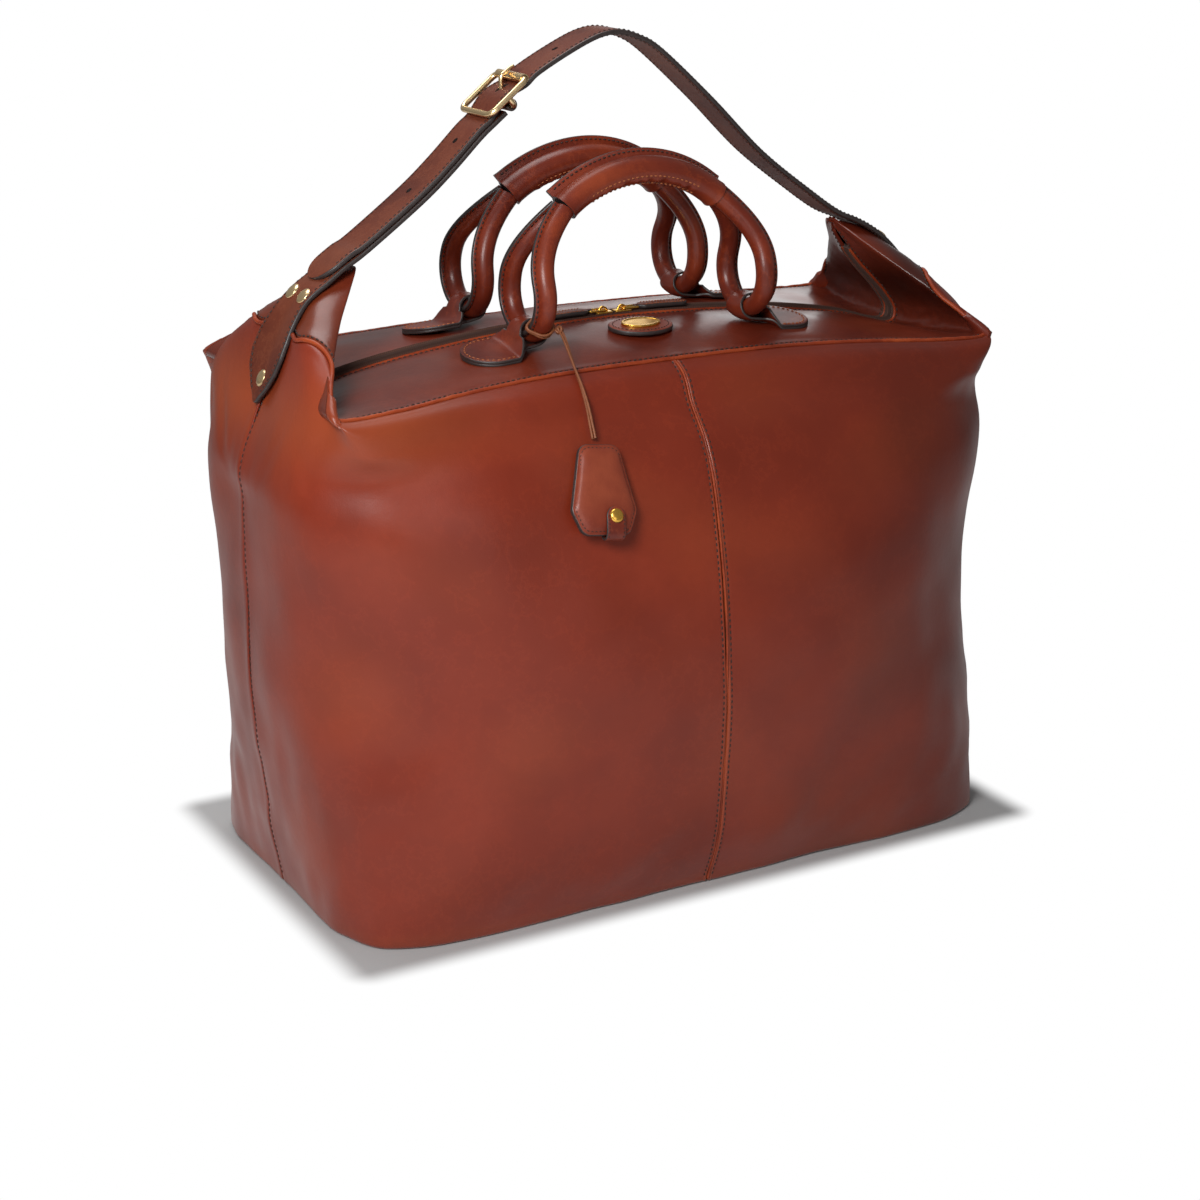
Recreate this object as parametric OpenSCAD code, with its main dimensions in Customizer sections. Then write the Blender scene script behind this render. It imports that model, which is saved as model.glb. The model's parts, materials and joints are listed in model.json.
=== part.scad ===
// Soft leather weekender bag. Millimetres, +Z up, +X along the bag, front at -Y,
// origin under the middle of the base.

/* [Bag body] */
// Length of the base
base_length = 502; // [497:1:507]
// Width of the base
base_width = 286; // [282:1:290]
// Height of the zip above the floor, at the middle
body_height = 366; // [364:0.5:368]
// Thickness of the wall leather
leather = 2.4; // [2:0.1:2.8]

/* [Handles] */
// Distance between the two rings of a handle
ring_spacing = 166; // [162:1:170]
// Distance of the front handle from the zip
front_handle_y = 48; // [46:0.5:50]
// Distance of the back handle from the zip
back_handle_y = 40; // [38:0.5:42]
// Radius of the ring at the foot of a handle
ring_r = 25; // [24:0.5:26]
// Radius of the rolled leather rope
rope_r = 6.5; // [6:0.1:6.6]
// Radius of the grip sleeve
grip_r = 9.2; // [9:0.1:10]
// Height of the grip above the pivot
grip_rise = 74; // [72:1:76]
// Lean of the back handle towards the front
back_lean = 12; // [8:1:14]

/* [Shoulder strap] */
// Width of the strap
strap_w = 34; // [32:1:36]
// Thickness of the strap
strap_t = 3.2; // [2.8:0.1:3.4]
// Radius of the adjusting holes
hole_r = 2.2; // [2:0.1:2.5]

/* [Brass] */
// Radius of the buckle wire
wire_r = 2.1; // [1.9:0.1:2.2]
// Radius of the rivet heads
rivet_r = 5.5; // [5:0.5:6]
// Length of the oval plate
plate_l = 28; // [26:1:30]

/* [Key bell] */
// Width of the key bell
bell_w = 45; // [42:1:48]
// Height of the key bell
bell_h = 58; // [54:1:60]

/* [Hidden] */
$fn = 48;
wall_leather = "#7d3a28";
top_leather = "#5e2a22";
strap_leather = "#6a3a30";
rope_leather = "#8a3f2a";
brass = "#d8b878";
gap = 0.3;

// One quarter of the bag, drawn for x and |y| above zero. A station holds four points:
// zip edge, middle of the top, ridge and shoulder. Stations run from the middle of the
// long side round the corner to the middle of the end, where the ear folds up.
top_net = [
    [[0, 6.5, 366], [0, 52, 363], [0, 100, 350], [0, 116, 328]],
    [[77, 6.5, 363.5], [78, 52, 361], [80, 100, 349.5], [81, 116, 328]],
    [[140, 6.5, 357.5], [143, 54, 356], [150, 104, 347], [154, 118, 326]],
    [[192, 6.5, 349], [199, 58, 349], [205, 110, 344], [207, 121, 325]],
    [[232, 6.5, 338], [238, 60, 341], [245, 110, 345], [236, 116, 325]],
    [[240, 6.2, 347], [241, 48, 352], [240, 88, 358], [249, 93, 334]],
    [[229, 5.5, 363], [230, 36, 367], [229, 66, 371], [247, 68, 350]],
    [[208, 5, 384], [208, 20, 389], [208, 34, 394], [238, 36, 376]],
    [[193, 4, 402], [191, 7, 408], [190, 10, 413], [227, 11, 393]],
    [[189, 2, 408], [187, 1, 413], [187, 0, 416], [223, 0, 397]]];
// Wall rows: height, half length, half width, squareness of the outline
wall_rows = [[305, 265, 133.7, 4.2], [270, 267, 147.4, 3.8], [200, 268, 161, 2.8],
    [140, 268, 163, 2.8], [50, 258, 157, 4.4], [3, 251, 143, 8]];
// Where each station meets the square that the outline is rounded from
wall_dirs = [[0, 1], [0.32, 1], [0.61, 1], [0.82, 1], [1, 0.94],
    [1, 0.67], [1, 0.44], [1, 0.23], [1, 0.07], [1, 0]];
// Row number of the top-band seam at each station
seam_rows = [1.78, 1.78, 1.8, 1.82, 1.85, 1.9, 2.05, 3.05, 3.15, 3.2];
last = len(top_net) - 1;
base_row = 9;
around = 4 * last;

function net(i, k) = k < 4 ? top_net[i][k] : outline(wall_rows[k - 4], wall_dirs[i]);
function outline(w, d) = let(r = pow(pow(abs(d[0]), w[3]) + pow(abs(d[1]), w[3]), -1 / w[3]))
    [w[1] * d[0] * r, w[2] * d[1] * r, w[0]];
// Mirrored neighbours past both ends of the quarter
function net_wide(i, k) = i < 0 ? let(p = net(-i, k)) [-p[0], p[1], p[2]]
    : i > last ? let(p = net(2 * last - i, k)) [p[0], -p[1], p[2]] : net(i, k);
function net_tall(i, k) = k < 0 ? 2 * net_wide(i, 0) - net_wide(i, 1)
    : k > base_row ? 2 * net_wide(i, base_row) - net_wide(i, base_row - 1) : net_wide(i, k);
function spline(a, b, c, d, t) = 0.5 * (2 * b + (c - a) * t
    + (2 * a - 5 * b + 4 * c - d) * t * t + (3 * b - a - 3 * c + d) * t * t * t);
function column(i, k) = let(j = min(floor(k), base_row - 1))
    spline(net_tall(i, j - 1), net_tall(i, j), net_tall(i, j + 1), net_tall(i, j + 2), k - j);
function quarter(s, k) = let(i = min(floor(s), last - 1), p = spline(column(i - 1, k),
    column(i, k), column(i + 1, k), column(i + 2, k), s - i))
    [p[0] * base_length / 502, p[1] * base_width / 286, p[2] * body_height / 366];
// Point of the bag's skin: s runs once round the bag, k from the zip down to the base
function skin(s, k) = let(t = s < 0 ? s + around : s >= around ? s - around : s,
    q = floor(t / last), u = q % 2 == 0 ? t - q * last : (q + 1) * last - t,
    p = quarter(u, k))
    [(q < 2 ? 1 : -1) * p[0], (q == 0 || q == 3 ? -1 : 1) * p[1], p[2]];
function unit(v) = v / norm(v);
function outward(s, k, e = 0.02) = unit(cross(skin(s, k + e) - skin(s, max(k - e, 0)),
    skin(s + e, k) - skin(s - e, k)));
function off_skin(s, k, d) = skin(s, k) + d * outward(s, k);
function seam_row(s) = let(t = s < 0 ? s + around : s >= around ? s - around : s,
    q = floor(t / last), u = q % 2 == 0 ? t - q * last : (q + 1) * last - t,
    i = min(floor(u), last - 1)) seam_rows[i] + (seam_rows[i + 1] - seam_rows[i]) * (u - i);
// Stations of one quarter: coarse along the side, finer round the corner and the ear
steps = [0, 1, 2, 2.5, 3, 3.5, 4, 4.5, 5, 5.5, 6, 6.5, 7, 7.5, 8, 8.5, 9];
// Half the open line of a vertical seam, in stations: on the long side and on the end
side_cut = 0.003;
end_cut = 0.02;
function quarter_steps(q) = [for (i = [0:len(steps) - 1])
    let(u = q % 2 == 0 ? steps[i] : last - steps[len(steps) - 1 - i],
        cuts = q % 2 == 0 ? [side_cut, end_cut] : [end_cut, side_cut])
    q * last + min(max(u, cuts[0]), last - cuts[1])];

// Closed sheet between two offsets of the skin; rows holds one list of k for each station
module sheet(stations, rows, outer, inner) {
    ns = len(stations) - 1;
    nk = len(rows[0]) - 1;
    side = (ns + 1) * (nk + 1);
    points = [for (d = [outer, inner]) for (i = [0:ns]) for (j = [0:nk])
        off_skin(stations[i], rows[i][j], d)];
    function at(i, j) = i * (nk + 1) + j;
    outside = [for (i = [0:ns - 1]) for (j = [0:nk - 1])
        let(a = at(i, j), b = at(i + 1, j), c = at(i + 1, j + 1), d = at(i, j + 1))
        each [[a, b, c], [a, c, d]]];
    inside = [for (f = outside) [f[0] + side, f[2] + side, f[1] + side]];
    rim = [for (i = [0:ns - 1]) each [
            strip(at(i, 0), at(i + 1, 0), side), strip(at(i + 1, nk), at(i, nk), side)]];
    ends = [for (j = [0:nk - 1]) each [
            strip(at(ns, j), at(ns, j + 1), side), strip(at(0, j + 1), at(0, j), side)]];
    polyhedron(points, concat(outside, inside, [for (r = concat(rim, ends)) each r]));
}
function strip(a, b, side) = [[b, a, a + side], [b, a + side, b + side]];
// Solid through a list of closed rings, capped at both ends
module loft(rings) {
    n = len(rings) - 1;
    m = len(rings[0]);
    faces = [for (i = [0:n - 1]) for (j = [0:m - 1])
        let(a = i * m + j, b = i * m + (j + 1) % m, c = b + m, d = a + m)
        each [[a, b, c], [a, c, d]]];
    caps = [for (j = [1:m - 2]) each [[0, j + 1, j], [n * m, n * m + j, n * m + j + 1]]];
    polyhedron([for (r = rings) each r], concat(faces, caps));
}
// Round tube along a path; side_hint keeps its rings from twisting
module tube(path, r, sides, side_hint = [0, 0, 1]) {
    n = len(path) - 1;
    loft([for (i = [0:n]) let(t = unit(path[min(i + 1, n)] - path[max(i - 1, 0)]),
        u = unit(cross(side_hint, t)), v = cross(t, u))
        [for (a = [0:sides - 1]) path[i] - r * (cos(360 * a / sides) * u - sin(360 * a / sides) * v)]]);
}
function bezier(a, b, c, d, n) = [for (i = [0:n]) let(t = i / n, w = 1 - t)
    w * w * w * a + 3 * w * w * t * b + 3 * w * t * t * c + t * t * t * d];

// --- walls, top, base -------------------------------------------------------------
wall_shares = [0, 0.05, 0.11, 0.19, 0.3, 0.42, 0.56, 0.7, 0.84, 0.94, 1];
lining_shares = [0.3, 0.42, 0.56, 0.7, 0.84, 0.94, 0.965];
function wall_rows_at(s, shares) = let(k0 = seam_row(s) + 0.02)
    [for (share = shares) k0 + (base_row - k0) * share];
module wall_panel(q) {
    stations = quarter_steps(q);
    color(wall_leather) sheet(stations, [for (s = stations) wall_rows_at(s, wall_shares)], 0, -leather);
}
top_levels = 4;
module top_panel(q0, q1) {
    stations = concat(quarter_steps(q0), quarter_steps(q1));
    color(top_leather) sheet(stations, [for (s = stations)
        [for (j = [0:top_levels]) seam_row(s) * j / top_levels]], 0, -leather);
}
module front_left_panel() wall_panel(3);
module front_right_panel() wall_panel(0);
module back_left_panel() wall_panel(2);
module back_right_panel() wall_panel(1);
module top_front_panel() top_panel(-1, 0);
module top_back_panel() top_panel(1, 2);

base_t = 2.7;
board_t = 3;
lining_gap = 1.2;
function base_outline(inset, count) = [for (i = [0:count - 1]) let(a = 360 * i / count,
    w = wall_rows[5], r = pow(pow(abs(cos(a)), w[3]) + pow(abs(sin(a)), w[3]), -1 / w[3]))
    [(base_length / 2 - inset) * cos(a) * r, (base_width / 2 - inset) * sin(a) * r]];
module base_panel() color(wall_leather) linear_extrude(base_t) polygon(base_outline(0, 72));
module base_board() color("#6b5a45") translate([0, 0, base_t + 0.3]) linear_extrude(board_t)
    polygon(base_outline(leather + 4, 72));
module lining() color("#8a7a5a") for (q = [0:3]) {
    stations = quarter_steps(q);
    sheet(stations, [for (s = stations) wall_rows_at(s, lining_shares)],
        -leather - lining_gap, -leather - lining_gap - 1);
}

// --- piping in the top-band seam --------------------------------------------------
piping_r = 1.6;
module piping(q0, q1) {
    stations = concat(quarter_steps(q0), quarter_steps(q1));
    color("#b5522d") tube([for (s = stations) off_skin(s, seam_row(s) + 0.01, piping_r + 0.05)],
        piping_r, 6, [0, 0, 1]);
}
module front_piping() piping(-1, 0);
module back_piping() piping(1, 2);

// --- zip --------------------------------------------------------------------------
// The zip runs along y = 0: level over the top, down into the end folds, up the ears
zip_end = 7.5;
zip_steps = [for (i = [0:30]) -zip_end + i / 2];
function zip_point(s) = let(p = quarter(abs(s), 0)) [sign(s) * p[0], 0, p[2]];
function zip_edge(s) = quarter(abs(s), 0)[1];
module zip_strip(side, y0, y1, drop, t) {
    n = len(zip_steps) - 1;
    loft([for (i = [0:n]) let(s = zip_steps[i],
        d = unit(zip_point(s + 0.1) - zip_point(s - 0.1)),
        up = [-d[2], 0, d[0]], top = zip_point(s) - drop * up, edge = y1 > 0 ? y1 : zip_edge(s) - gap,
        a = side * y0, b = side * edge)
        side < 0 ? [top + [0, a, 0], top + [0, b, 0], top - t * up + [0, b, 0], top - t * up + [0, a, 0]]
            : [top + [0, b, 0], top + [0, a, 0], top - t * up + [0, a, 0], top - t * up + [0, b, 0]]]);
}
coil_inner = 0.15;
coil_outer = 1.9;
coil_t = 1.7;
module front_zip_tape() color("#5a3020") zip_strip(-1, coil_outer + 0.2, 0, 0.6, 1);
module back_zip_tape() color("#5a3020") zip_strip(1, coil_outer + 0.2, 0, 0.6, 1);
module front_zip_coil() color("#4a2018") zip_strip(-1, coil_inner, coil_outer, 0.2, coil_t);
module back_zip_coil() color("#4a2018") zip_strip(1, coil_inner, coil_outer, 0.2, coil_t);

// Sliders run on the level stretch, an arc of large radius about a line along Y
zip_arc_r = 1144;
left_slider_x = -1;
right_slider_x = 14;
slider_l = 12;
slider_lift = 0.9;
plate_t = 1.5;
bail_r = 3.3;
bail_wire = 0.8;
link_l = 11;
link_wire = 0.9;
tab_l = 40;
tab_w = 11;
tab_t = 2.8;
// Frame of a slider: on the zip's arc at x, level with it
module on_zip(x) {
    a = asin(x / zip_arc_r);
    translate([x, 0, body_height - zip_arc_r * (1 - cos(a))]) rotate([0, a, 0]) children();
}
module slider(x) color(brass) on_zip(x) {
    translate([-slider_l / 2, -5, slider_lift]) cube([slider_l, 10, plate_t]);
    for (m = [0, 1]) mirror([0, m, 0])
        translate([-slider_l / 2 + 1, 3.6, slider_lift - 0.9]) cube([slider_l - 2, 1.4, 1.2]);
    translate([0, 0, slider_lift + plate_t - 0.2]) rotate([90, 0, 0])
        rotate_extrude(angle = 180) translate([bail_r, 0]) circle(bail_wire);
}
puller_z = slider_lift + plate_t + 0.3 + link_wire;
// A wire link whose near bar passes through the bail; dir is the side it lies on
module puller_link(x, dir) color(brass) on_zip(x) mirror([dir < 0 ? 1 : 0, 0, 0])
    translate([0, 0, puller_z]) {
        for (u = [0, link_l]) translate([u, 0, 0]) rotate([90, 0, 0])
            cylinder(r = link_wire, h = 6, center = true);
        for (v = [-3, 3]) translate([0, v, 0]) {
            rotate([0, 90, 0]) cylinder(r = link_wire, h = link_l);
            for (u = [0, link_l]) translate([u, 0, 0]) sphere(link_wire);
        }
    }
module pull_tab(x, dir) color(strap_leather) on_zip(x) mirror([dir < 0 ? 1 : 0, 0, 0])
    translate([0, 0, puller_z]) difference() {
        union() {
            translate([link_l - 1.9, -1.8, -tab_t / 2]) cube([4, 3.6, tab_t]);
            translate([link_l + 1.9, -tab_w / 2, -tab_t / 2]) cube([tab_l - tab_w / 2 - 1.9, tab_w, tab_t]);
            translate([link_l + tab_l - tab_w / 2, 0, -tab_t / 2]) cylinder(r = tab_w / 2, h = tab_t);
        }
        translate([link_l, 0, 0]) rotate([90, 0, 0]) cylinder(r = link_wire + 0.05, h = 8, center = true);
    }
module left_slider() slider(left_slider_x);
module right_slider() slider(right_slider_x);
module left_puller_link() puller_link(left_slider_x, -1);
module right_puller_link() puller_link(right_slider_x, 1);
module left_pull_tab() pull_tab(left_slider_x, -1);
module right_pull_tab() pull_tab(right_slider_x, 1);

// --- handles ----------------------------------------------------------------------
pivot_z = 397;
ring_x = ring_spacing / 2;
loop_clear = 0.35;
loop_wall = 2.6;
loop_half_angle = 24;
ring_half_angle = 108;
grip_half = 60;
grip_drop = 23;
arch_r = (grip_half * grip_half + grip_drop * grip_drop) / (2 * grip_drop);
arch_half_angle = asin(grip_half / arch_r);
core_r = 7;
// Turns the Z axis to X, so an angle of 270 degrees is straight down
module about_x() rotate([90, 0, 90]) children();
module ring_arc(half) about_x() rotate([0, 0, 270 - half]) rotate_extrude(angle = 2 * half)
    translate([ring_r, 0]) children();
module handle_at(y, lean) translate([0, y, pivot_z]) rotate([lean, 0, 0]) children();
// One leg of a ring, from the end of the round foot up to the grip
module leg(sx, sy) {
    y0 = ring_r * sin(ring_half_angle);
    z0 = -ring_r * cos(ring_half_angle);
    back = [0, cos(ring_half_angle), sin(ring_half_angle)];
    path = bezier([ring_x, y0, z0] - 2 * back, [ring_x + 4.5, y0 - 5, z0 + 15],
        [grip_half + 14, 9.5, grip_rise - grip_drop - 13],
        [grip_half - 1.5, 3.4, grip_rise - grip_drop + 1], 8);
    tube([for (p = path) [sx * p[0], sy * p[1], p[2]]], rope_r, 8, [0, 1, 0]);
}
module handle_rope() color(rope_leather) {
    for (sx = [-1, 1]) {
        translate([sx * ring_x, 0, 0]) ring_arc(ring_half_angle) circle(rope_r);
        for (sy = [-1, 1]) leg(sx, sy);
    }
    arch(arch_half_angle) circle(core_r);
}
// Children swept along the arch of the grip, X pointing up from it and Y to the front
module arch(half) translate([0, 0, grip_rise - arch_r]) rotate([90, 0, 0])
    rotate([0, 0, 90 - half]) rotate_extrude(angle = 2 * half) translate([arch_r, 0]) children();
fin_turn = -35;
module handle_grip() color(rope_leather) arch(arch_half_angle - 2.5) difference() {
    union() {
        circle(grip_r);
        rotate(fin_turn) translate([0, -1.6]) square([grip_r + 6.5, 3.2]);
    }
    circle(core_r + 0.1);
}
module front_handle_rope() handle_at(-front_handle_y, 0) handle_rope();
module front_handle_grip() handle_at(-front_handle_y, 0) handle_grip();
module back_handle_rope() handle_at(back_handle_y, back_lean) handle_rope();
module back_handle_grip() handle_at(back_handle_y, back_lean) handle_grip();

// Leather loop round the foot of a ring, with a tongue stitched to the top
tongue_l = 48;
tongue_w = 42;
tongue_t = 3.6;
tongue_tilt_x = 6;
tongue_tilt_y = 4.4;
tongue_start = 6.5;
front_tongue_z = -0.95;
back_tongue_z = -0.05;
module handle_loop(sx, y) color(rope_leather) mirror([sx < 0 ? 1 : 0, 0, 0]) mirror([0, y > 0 ? 1 : 0, 0]) {
    translate([ring_x, -abs(y), pivot_z]) ring_arc(loop_half_angle) difference() {
        circle(rope_r + loop_clear + loop_wall);
        circle(rope_r + loop_clear);
    }
    translate([ring_x, -abs(y), pivot_z - ring_r - rope_r - loop_clear - loop_wall + 0.2])
        rotate([tongue_tilt_x, tongue_tilt_y, 0])
        translate([0, 0, y > 0 ? back_tongue_z : front_tongue_z]) {
            translate([tongue_start, -tongue_w / 2, 0])
                cube([tongue_l - tongue_w / 2 - tongue_start, tongue_w, tongue_t]);
            translate([tongue_l - tongue_w / 2, 0, 0]) cylinder(r = tongue_w / 2, h = tongue_t);
        }
}
module front_left_loop() handle_loop(-1, -front_handle_y);
module front_right_loop() handle_loop(1, -front_handle_y);
module back_left_loop() handle_loop(-1, back_handle_y);
module back_right_loop() handle_loop(1, back_handle_y);

// --- shoulder strap ---------------------------------------------------------------
// The strap lies in the XZ plane; these are the middle of its thickness, right to left
split_x = 181.4;
buckle_at = [-77.5, 513.9];
buckle_turn = 39;
bar_pitch = 17;
function in_buckle(t, n) = buckle_at + t * [cos(buckle_turn), sin(buckle_turn)]
    + n * [-sin(buckle_turn), cos(buckle_turn)];
strap_line = [[185.2, 420.9], [159, 438], [116, 469.5], [75, 508], [35, 542.5], [17, 552.5], [2, 556.3],
    [-14, 554], [-36, 544.5], in_buckle(27, 2.4), in_buckle(16, 2.4), in_buckle(0, 5.9),
    in_buckle(-17, 2.4), in_buckle(-28, 2.4), [-121, 479], [-143, 460.5], [-185.2, 430.1]];
function smooth(line, n) = [for (i = [0:len(line) - 2]) for (j = [0:n - 1])
    spline(line[max(i - 1, 0)], line[i], line[i + 1], line[min(i + 2, len(line) - 1)], j / n),
    line[len(line) - 1]];
function line_normal(line, i) = let(n = len(line) - 1,
    d = unit(line[min(i + 1, n)] - line[max(i - 1, 0)])) [d[1], -d[0]];
function shifted(line, d) = [for (i = [0:len(line) - 1]) line[i] + d * line_normal(line, i)];
function reversed(line) = [for (i = [len(line) - 1:-1:0]) line[i]];
// Flat strip of leather that follows a line in the XZ plane
module strip_along(line, t, w) rotate([90, 0, 0]) linear_extrude(height = w, center = true)
    polygon(concat(shifted(line, t / 2), reversed(shifted(line, -t / 2))));
module through_hole(at, turn, r, l) translate([at[0], 0, at[1]]) rotate([0, -turn, 0])
    cylinder(r = r, h = l, center = true);
prong_slot = [1.5, 11];
// The strap and its ends on the ears meet on upright faces, so that it can swing between them
split_clear = 0.2;
module between_ends(half) translate([-half, -40, 400]) cube([2 * half, 80, 200]);
module swinging_part() intersection() {
    children();
    between_ends(split_x - split_clear);
}
module ear_part() difference() {
    children();
    between_ends(split_x + split_clear);
}
module strap() color(strap_leather) difference() {
    swinging_part() strip_along(smooth(strap_line, 3), strap_t, strap_w);
    through_hole([-143, 460.5], 36, hole_r, 12);
    through_hole([-108.5, 489.3], 40, hole_r, 12);
    through_hole([-36, 544.5], 30, hole_r, 12);
    translate([buckle_at[0], 0, buckle_at[1]]) rotate([0, -buckle_turn, 0])
        translate([prong_slot[0], -hole_r, 0]) cube([prong_slot[1], 2 * hole_r, 12]);
}
// Outline of the strap's end, seen along X: y, z
tip_line = [[-177.6, 435.4], [-192, 427.2], [-206, 417.6]];
tip_round_z = 426.5;
module strap_tip() color(strap_leather) ear_part() intersection() {
    strip_along(smooth(tip_line, 3), strap_t, strap_w);
    union() {
        translate([-215, -strap_w / 2, tip_round_z]) cube([40, strap_w, 20]);
        translate([-215, 0, tip_round_z]) rotate([0, 90, 0]) cylinder(r = strap_w / 2, h = 40);
    }
}
chape_line = [[-185.2, 425.9], [-143, 455.9], [-121, 474.2], in_buckle(-30, -1.3), in_buckle(-17, -1.3),
    in_buckle(-3.2, -1.3)];
fold_r = wire_r + 0.15 + 1.8;
module buckle_chape() color(strap_leather) swinging_part() difference() {
    union() {
        strip_along(smooth(chape_line, 3), strap_t, strap_w);
        translate([buckle_at[0], 0, buckle_at[1]]) rotate([90, 0, 0])
            cylinder(r = fold_r, h = strap_w, center = true);
    }
    translate([buckle_at[0], 0, buckle_at[1]]) {
        rotate([90, 0, 0]) cylinder(r = wire_r + 0.15, h = 60, center = true);
        rotate([0, -buckle_turn, 0]) translate([-6.5, -2.6, -8]) cube([20, 5.2, 20]);
    }
    through_hole([-143, 456.4], 36, hole_r, 8);
}
// Chape on an ear: it follows the ear's outer face and narrows to a point below
chape_rows = [2.6, 2.85, 3.1, 3.35, 3.56, 3.7];
ear_face = [for (k = chape_rows) let(p = off_skin(last, k, strap_t / 2 + gap)) [p[0], p[2]]];
leaf = [[17, 450], [17, 406], [19.5, 398], [21.5, 386], [21, 374], [17.5, 362], [12, 352],
    [6, 344], [0, 340]];
module ear_leather(line) intersection() {
    strip_along(smooth(line, 3), strap_t, 50);
    translate([-300, 0, 0]) rotate([90, 0, 90]) linear_extrude(600)
        polygon(concat(leaf, [for (i = [len(leaf) - 2:-1:0]) [-leaf[i][0], leaf[i][1]]]));
}
module left_chape() color(strap_leather) ear_part() difference() {
    ear_leather([for (p = concat([[177.6, 431.2], [196, 420]], ear_face)) [-p[0], p[1]]]);
    rivet_holes(-1);
}
module right_anchor() color(strap_leather) ear_part() difference() {
    ear_leather(concat([[177.6, 424.8], [195, 418]], ear_face));
    rivet_holes(1);
}
// Rivets: row number on the ear, distance from the middle and length of the shank; the lowest
// one ends in the leather, just outside the zip
rivet_spots = [[2.88, -9, 7], [2.88, 9, 7], [3.52, 0, 5.6]];
shank_r = 1.6;
module at_rivet(side, spot) {
    p = off_skin(last, spot[0], gap + strap_t);
    n = outward(last, spot[0]);
    mirror([side < 0 ? 1 : 0, 0, 0]) translate([p[0], spot[1], p[2]])
        rotate([0, atan2(n[0], n[2]), 0]) children();
}
module rivet_holes(side) for (spot = rivet_spots) at_rivet(side, spot)
    cylinder(r = shank_r, h = 20, center = true);
module rivets(side) color(brass) for (spot = rivet_spots) at_rivet(side, spot) {
    translate([0, 0, -spot[2]]) cylinder(r = shank_r, h = spot[2] + 0.5);
    if (spot[2] > 6) translate([0, 0, -spot[2] - 0.4]) cylinder(r = rivet_r - 2.3, h = 0.8);
    translate([0, 0, 0.1]) rotate_extrude() intersection() {
        translate([0, -7.6]) circle(r = 9.4);
        square([rivet_r, 4]);
    }
}
module left_rivets() rivets(-1);
module right_rivets() rivets(1);

// --- buckle -----------------------------------------------------------------------
frame_half = 21;
roller_r = 3;
roller_n = 7.2;
module in_buckle_frame() translate([buckle_at[0], 0, buckle_at[1]]) rotate([0, -buckle_turn, 0]) children();
module bar(t, n, r, l) translate([t, 0, n]) rotate([90, 0, 0]) cylinder(r = r, h = l, center = true);
// Wire between two points of the frame, with round ends
module wire(a, b, r) {
    d = b - a;
    translate(a) rotate([0, 0, atan2(d[1], d[0])]) rotate([0, acos(d[2] / norm(d)), 0])
        cylinder(r = r, h = norm(d));
    for (p = [a, b]) translate(p) sphere(r);
}
// A flat frame over the strap; its middle bar hangs below, under the strap
module buckle_frame() color(brass) in_buckle_frame() {
    bar(0, 0, wire_r, 2 * frame_half);
    for (t = [-bar_pitch, bar_pitch]) bar(t, roller_n, wire_r, 2 * frame_half);
    for (v = [-frame_half, frame_half]) {
        wire([-bar_pitch, v, roller_n], [bar_pitch, v, roller_n], wire_r);
        wire([0, v, 0], [0, v, roller_n], wire_r);
    }
}
module buckle_roller() color(brass) in_buckle_frame() translate([bar_pitch, 0, roller_n])
    rotate([90, 0, 0]) difference() {
        cylinder(r = roller_r, h = 36, center = true);
        cylinder(r = wire_r + 0.1, h = 40, center = true);
    }
prong_r = 1.5;
prong_top = roller_n + roller_r + prong_r + 0.25;
prong_bend = [12, 0, prong_top];
prong_tip = [bar_pitch + 4, 0, prong_top];
module buckle_prong() color(brass) in_buckle_frame() difference() {
    union() {
        rotate([90, 0, 0]) cylinder(r = wire_r + 1.6, h = 4, center = true);
        wire([1.5, 0, 1], prong_bend, prong_r);
        wire(prong_bend, prong_tip, prong_r);
    }
    rotate([90, 0, 0]) cylinder(r = wire_r + 0.1, h = 60, center = true);
}

// --- oval patch -------------------------------------------------------------------
patch_at = [3, -44];
patch_l = 46;
patch_w = 36;
patch_t = 2.6;
patch_z = 365.1;
patch_tilt = 4.6;
function oval(l, w) = [for (i = [0:35]) [l / 2 * cos(10 * i), w / 2 * sin(10 * i)]];
module on_patch() translate([patch_at[0], patch_at[1], patch_z]) rotate([patch_tilt, 0, 0]) children();
module oval_patch() color(strap_leather) on_patch() linear_extrude(patch_t) polygon(oval(patch_l, patch_w));
module oval_plate() color(brass) on_patch() translate([0, 0, patch_t + 0.05])
    linear_extrude(1.4) polygon(oval(plate_l, plate_l * 0.7));

// --- key bell ---------------------------------------------------------------------
hitch_angle = 43;
module lace_hitch() color(strap_leather) translate([-ring_x, -front_handle_y, pivot_z])
    about_x() rotate([0, 0, 270 - hitch_angle - 5]) rotate_extrude(angle = 10)
        translate([ring_r, 0]) difference() {
            circle(rope_r + 2.7);
            circle(rope_r + loop_clear);
        }
// Route of the lace, from the hitch over the shoulder to the top of the bell
lace_route = [[-73, -72, 376], [-73, -77, 372], [-74, -86, 364], [-76, -97, 356], [-77, -107, 347],
    [-78, -116, 337], [-80, -125, 326], [-81, -130, 319]];
lace_r = 1.8;
module bell_lace() color(strap_leather) tube(smooth(lace_route, 4), lace_r, 8, [1, 0, 0]);

bell_at = [-84.5, -144.3, 289];
bell_tilt = 26;
bell_roll = 8;
leaf_t = 2;
key_gap = 3.4;
module in_bell() translate(bell_at) rotate([-bell_tilt, 0, 0]) rotate([0, bell_roll, 0]) children();
// Tapered outline with round corners, drawn around the middle of the bell
module bell_outline(inset) {
    r = 7;
    top_half = bell_w * 0.33 - inset;
    low_half = bell_w / 2 - inset;
    corners = [[top_half - r, bell_h / 2 - r - inset], [low_half - r, -bell_h * 0.22],
        [low_half - r - 4, -bell_h / 2 + r + inset]];
    hull() for (c = corners) for (m = [-1, 1]) translate([m * c[0], c[1]]) circle(r, $fn = 32);
}
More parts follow.
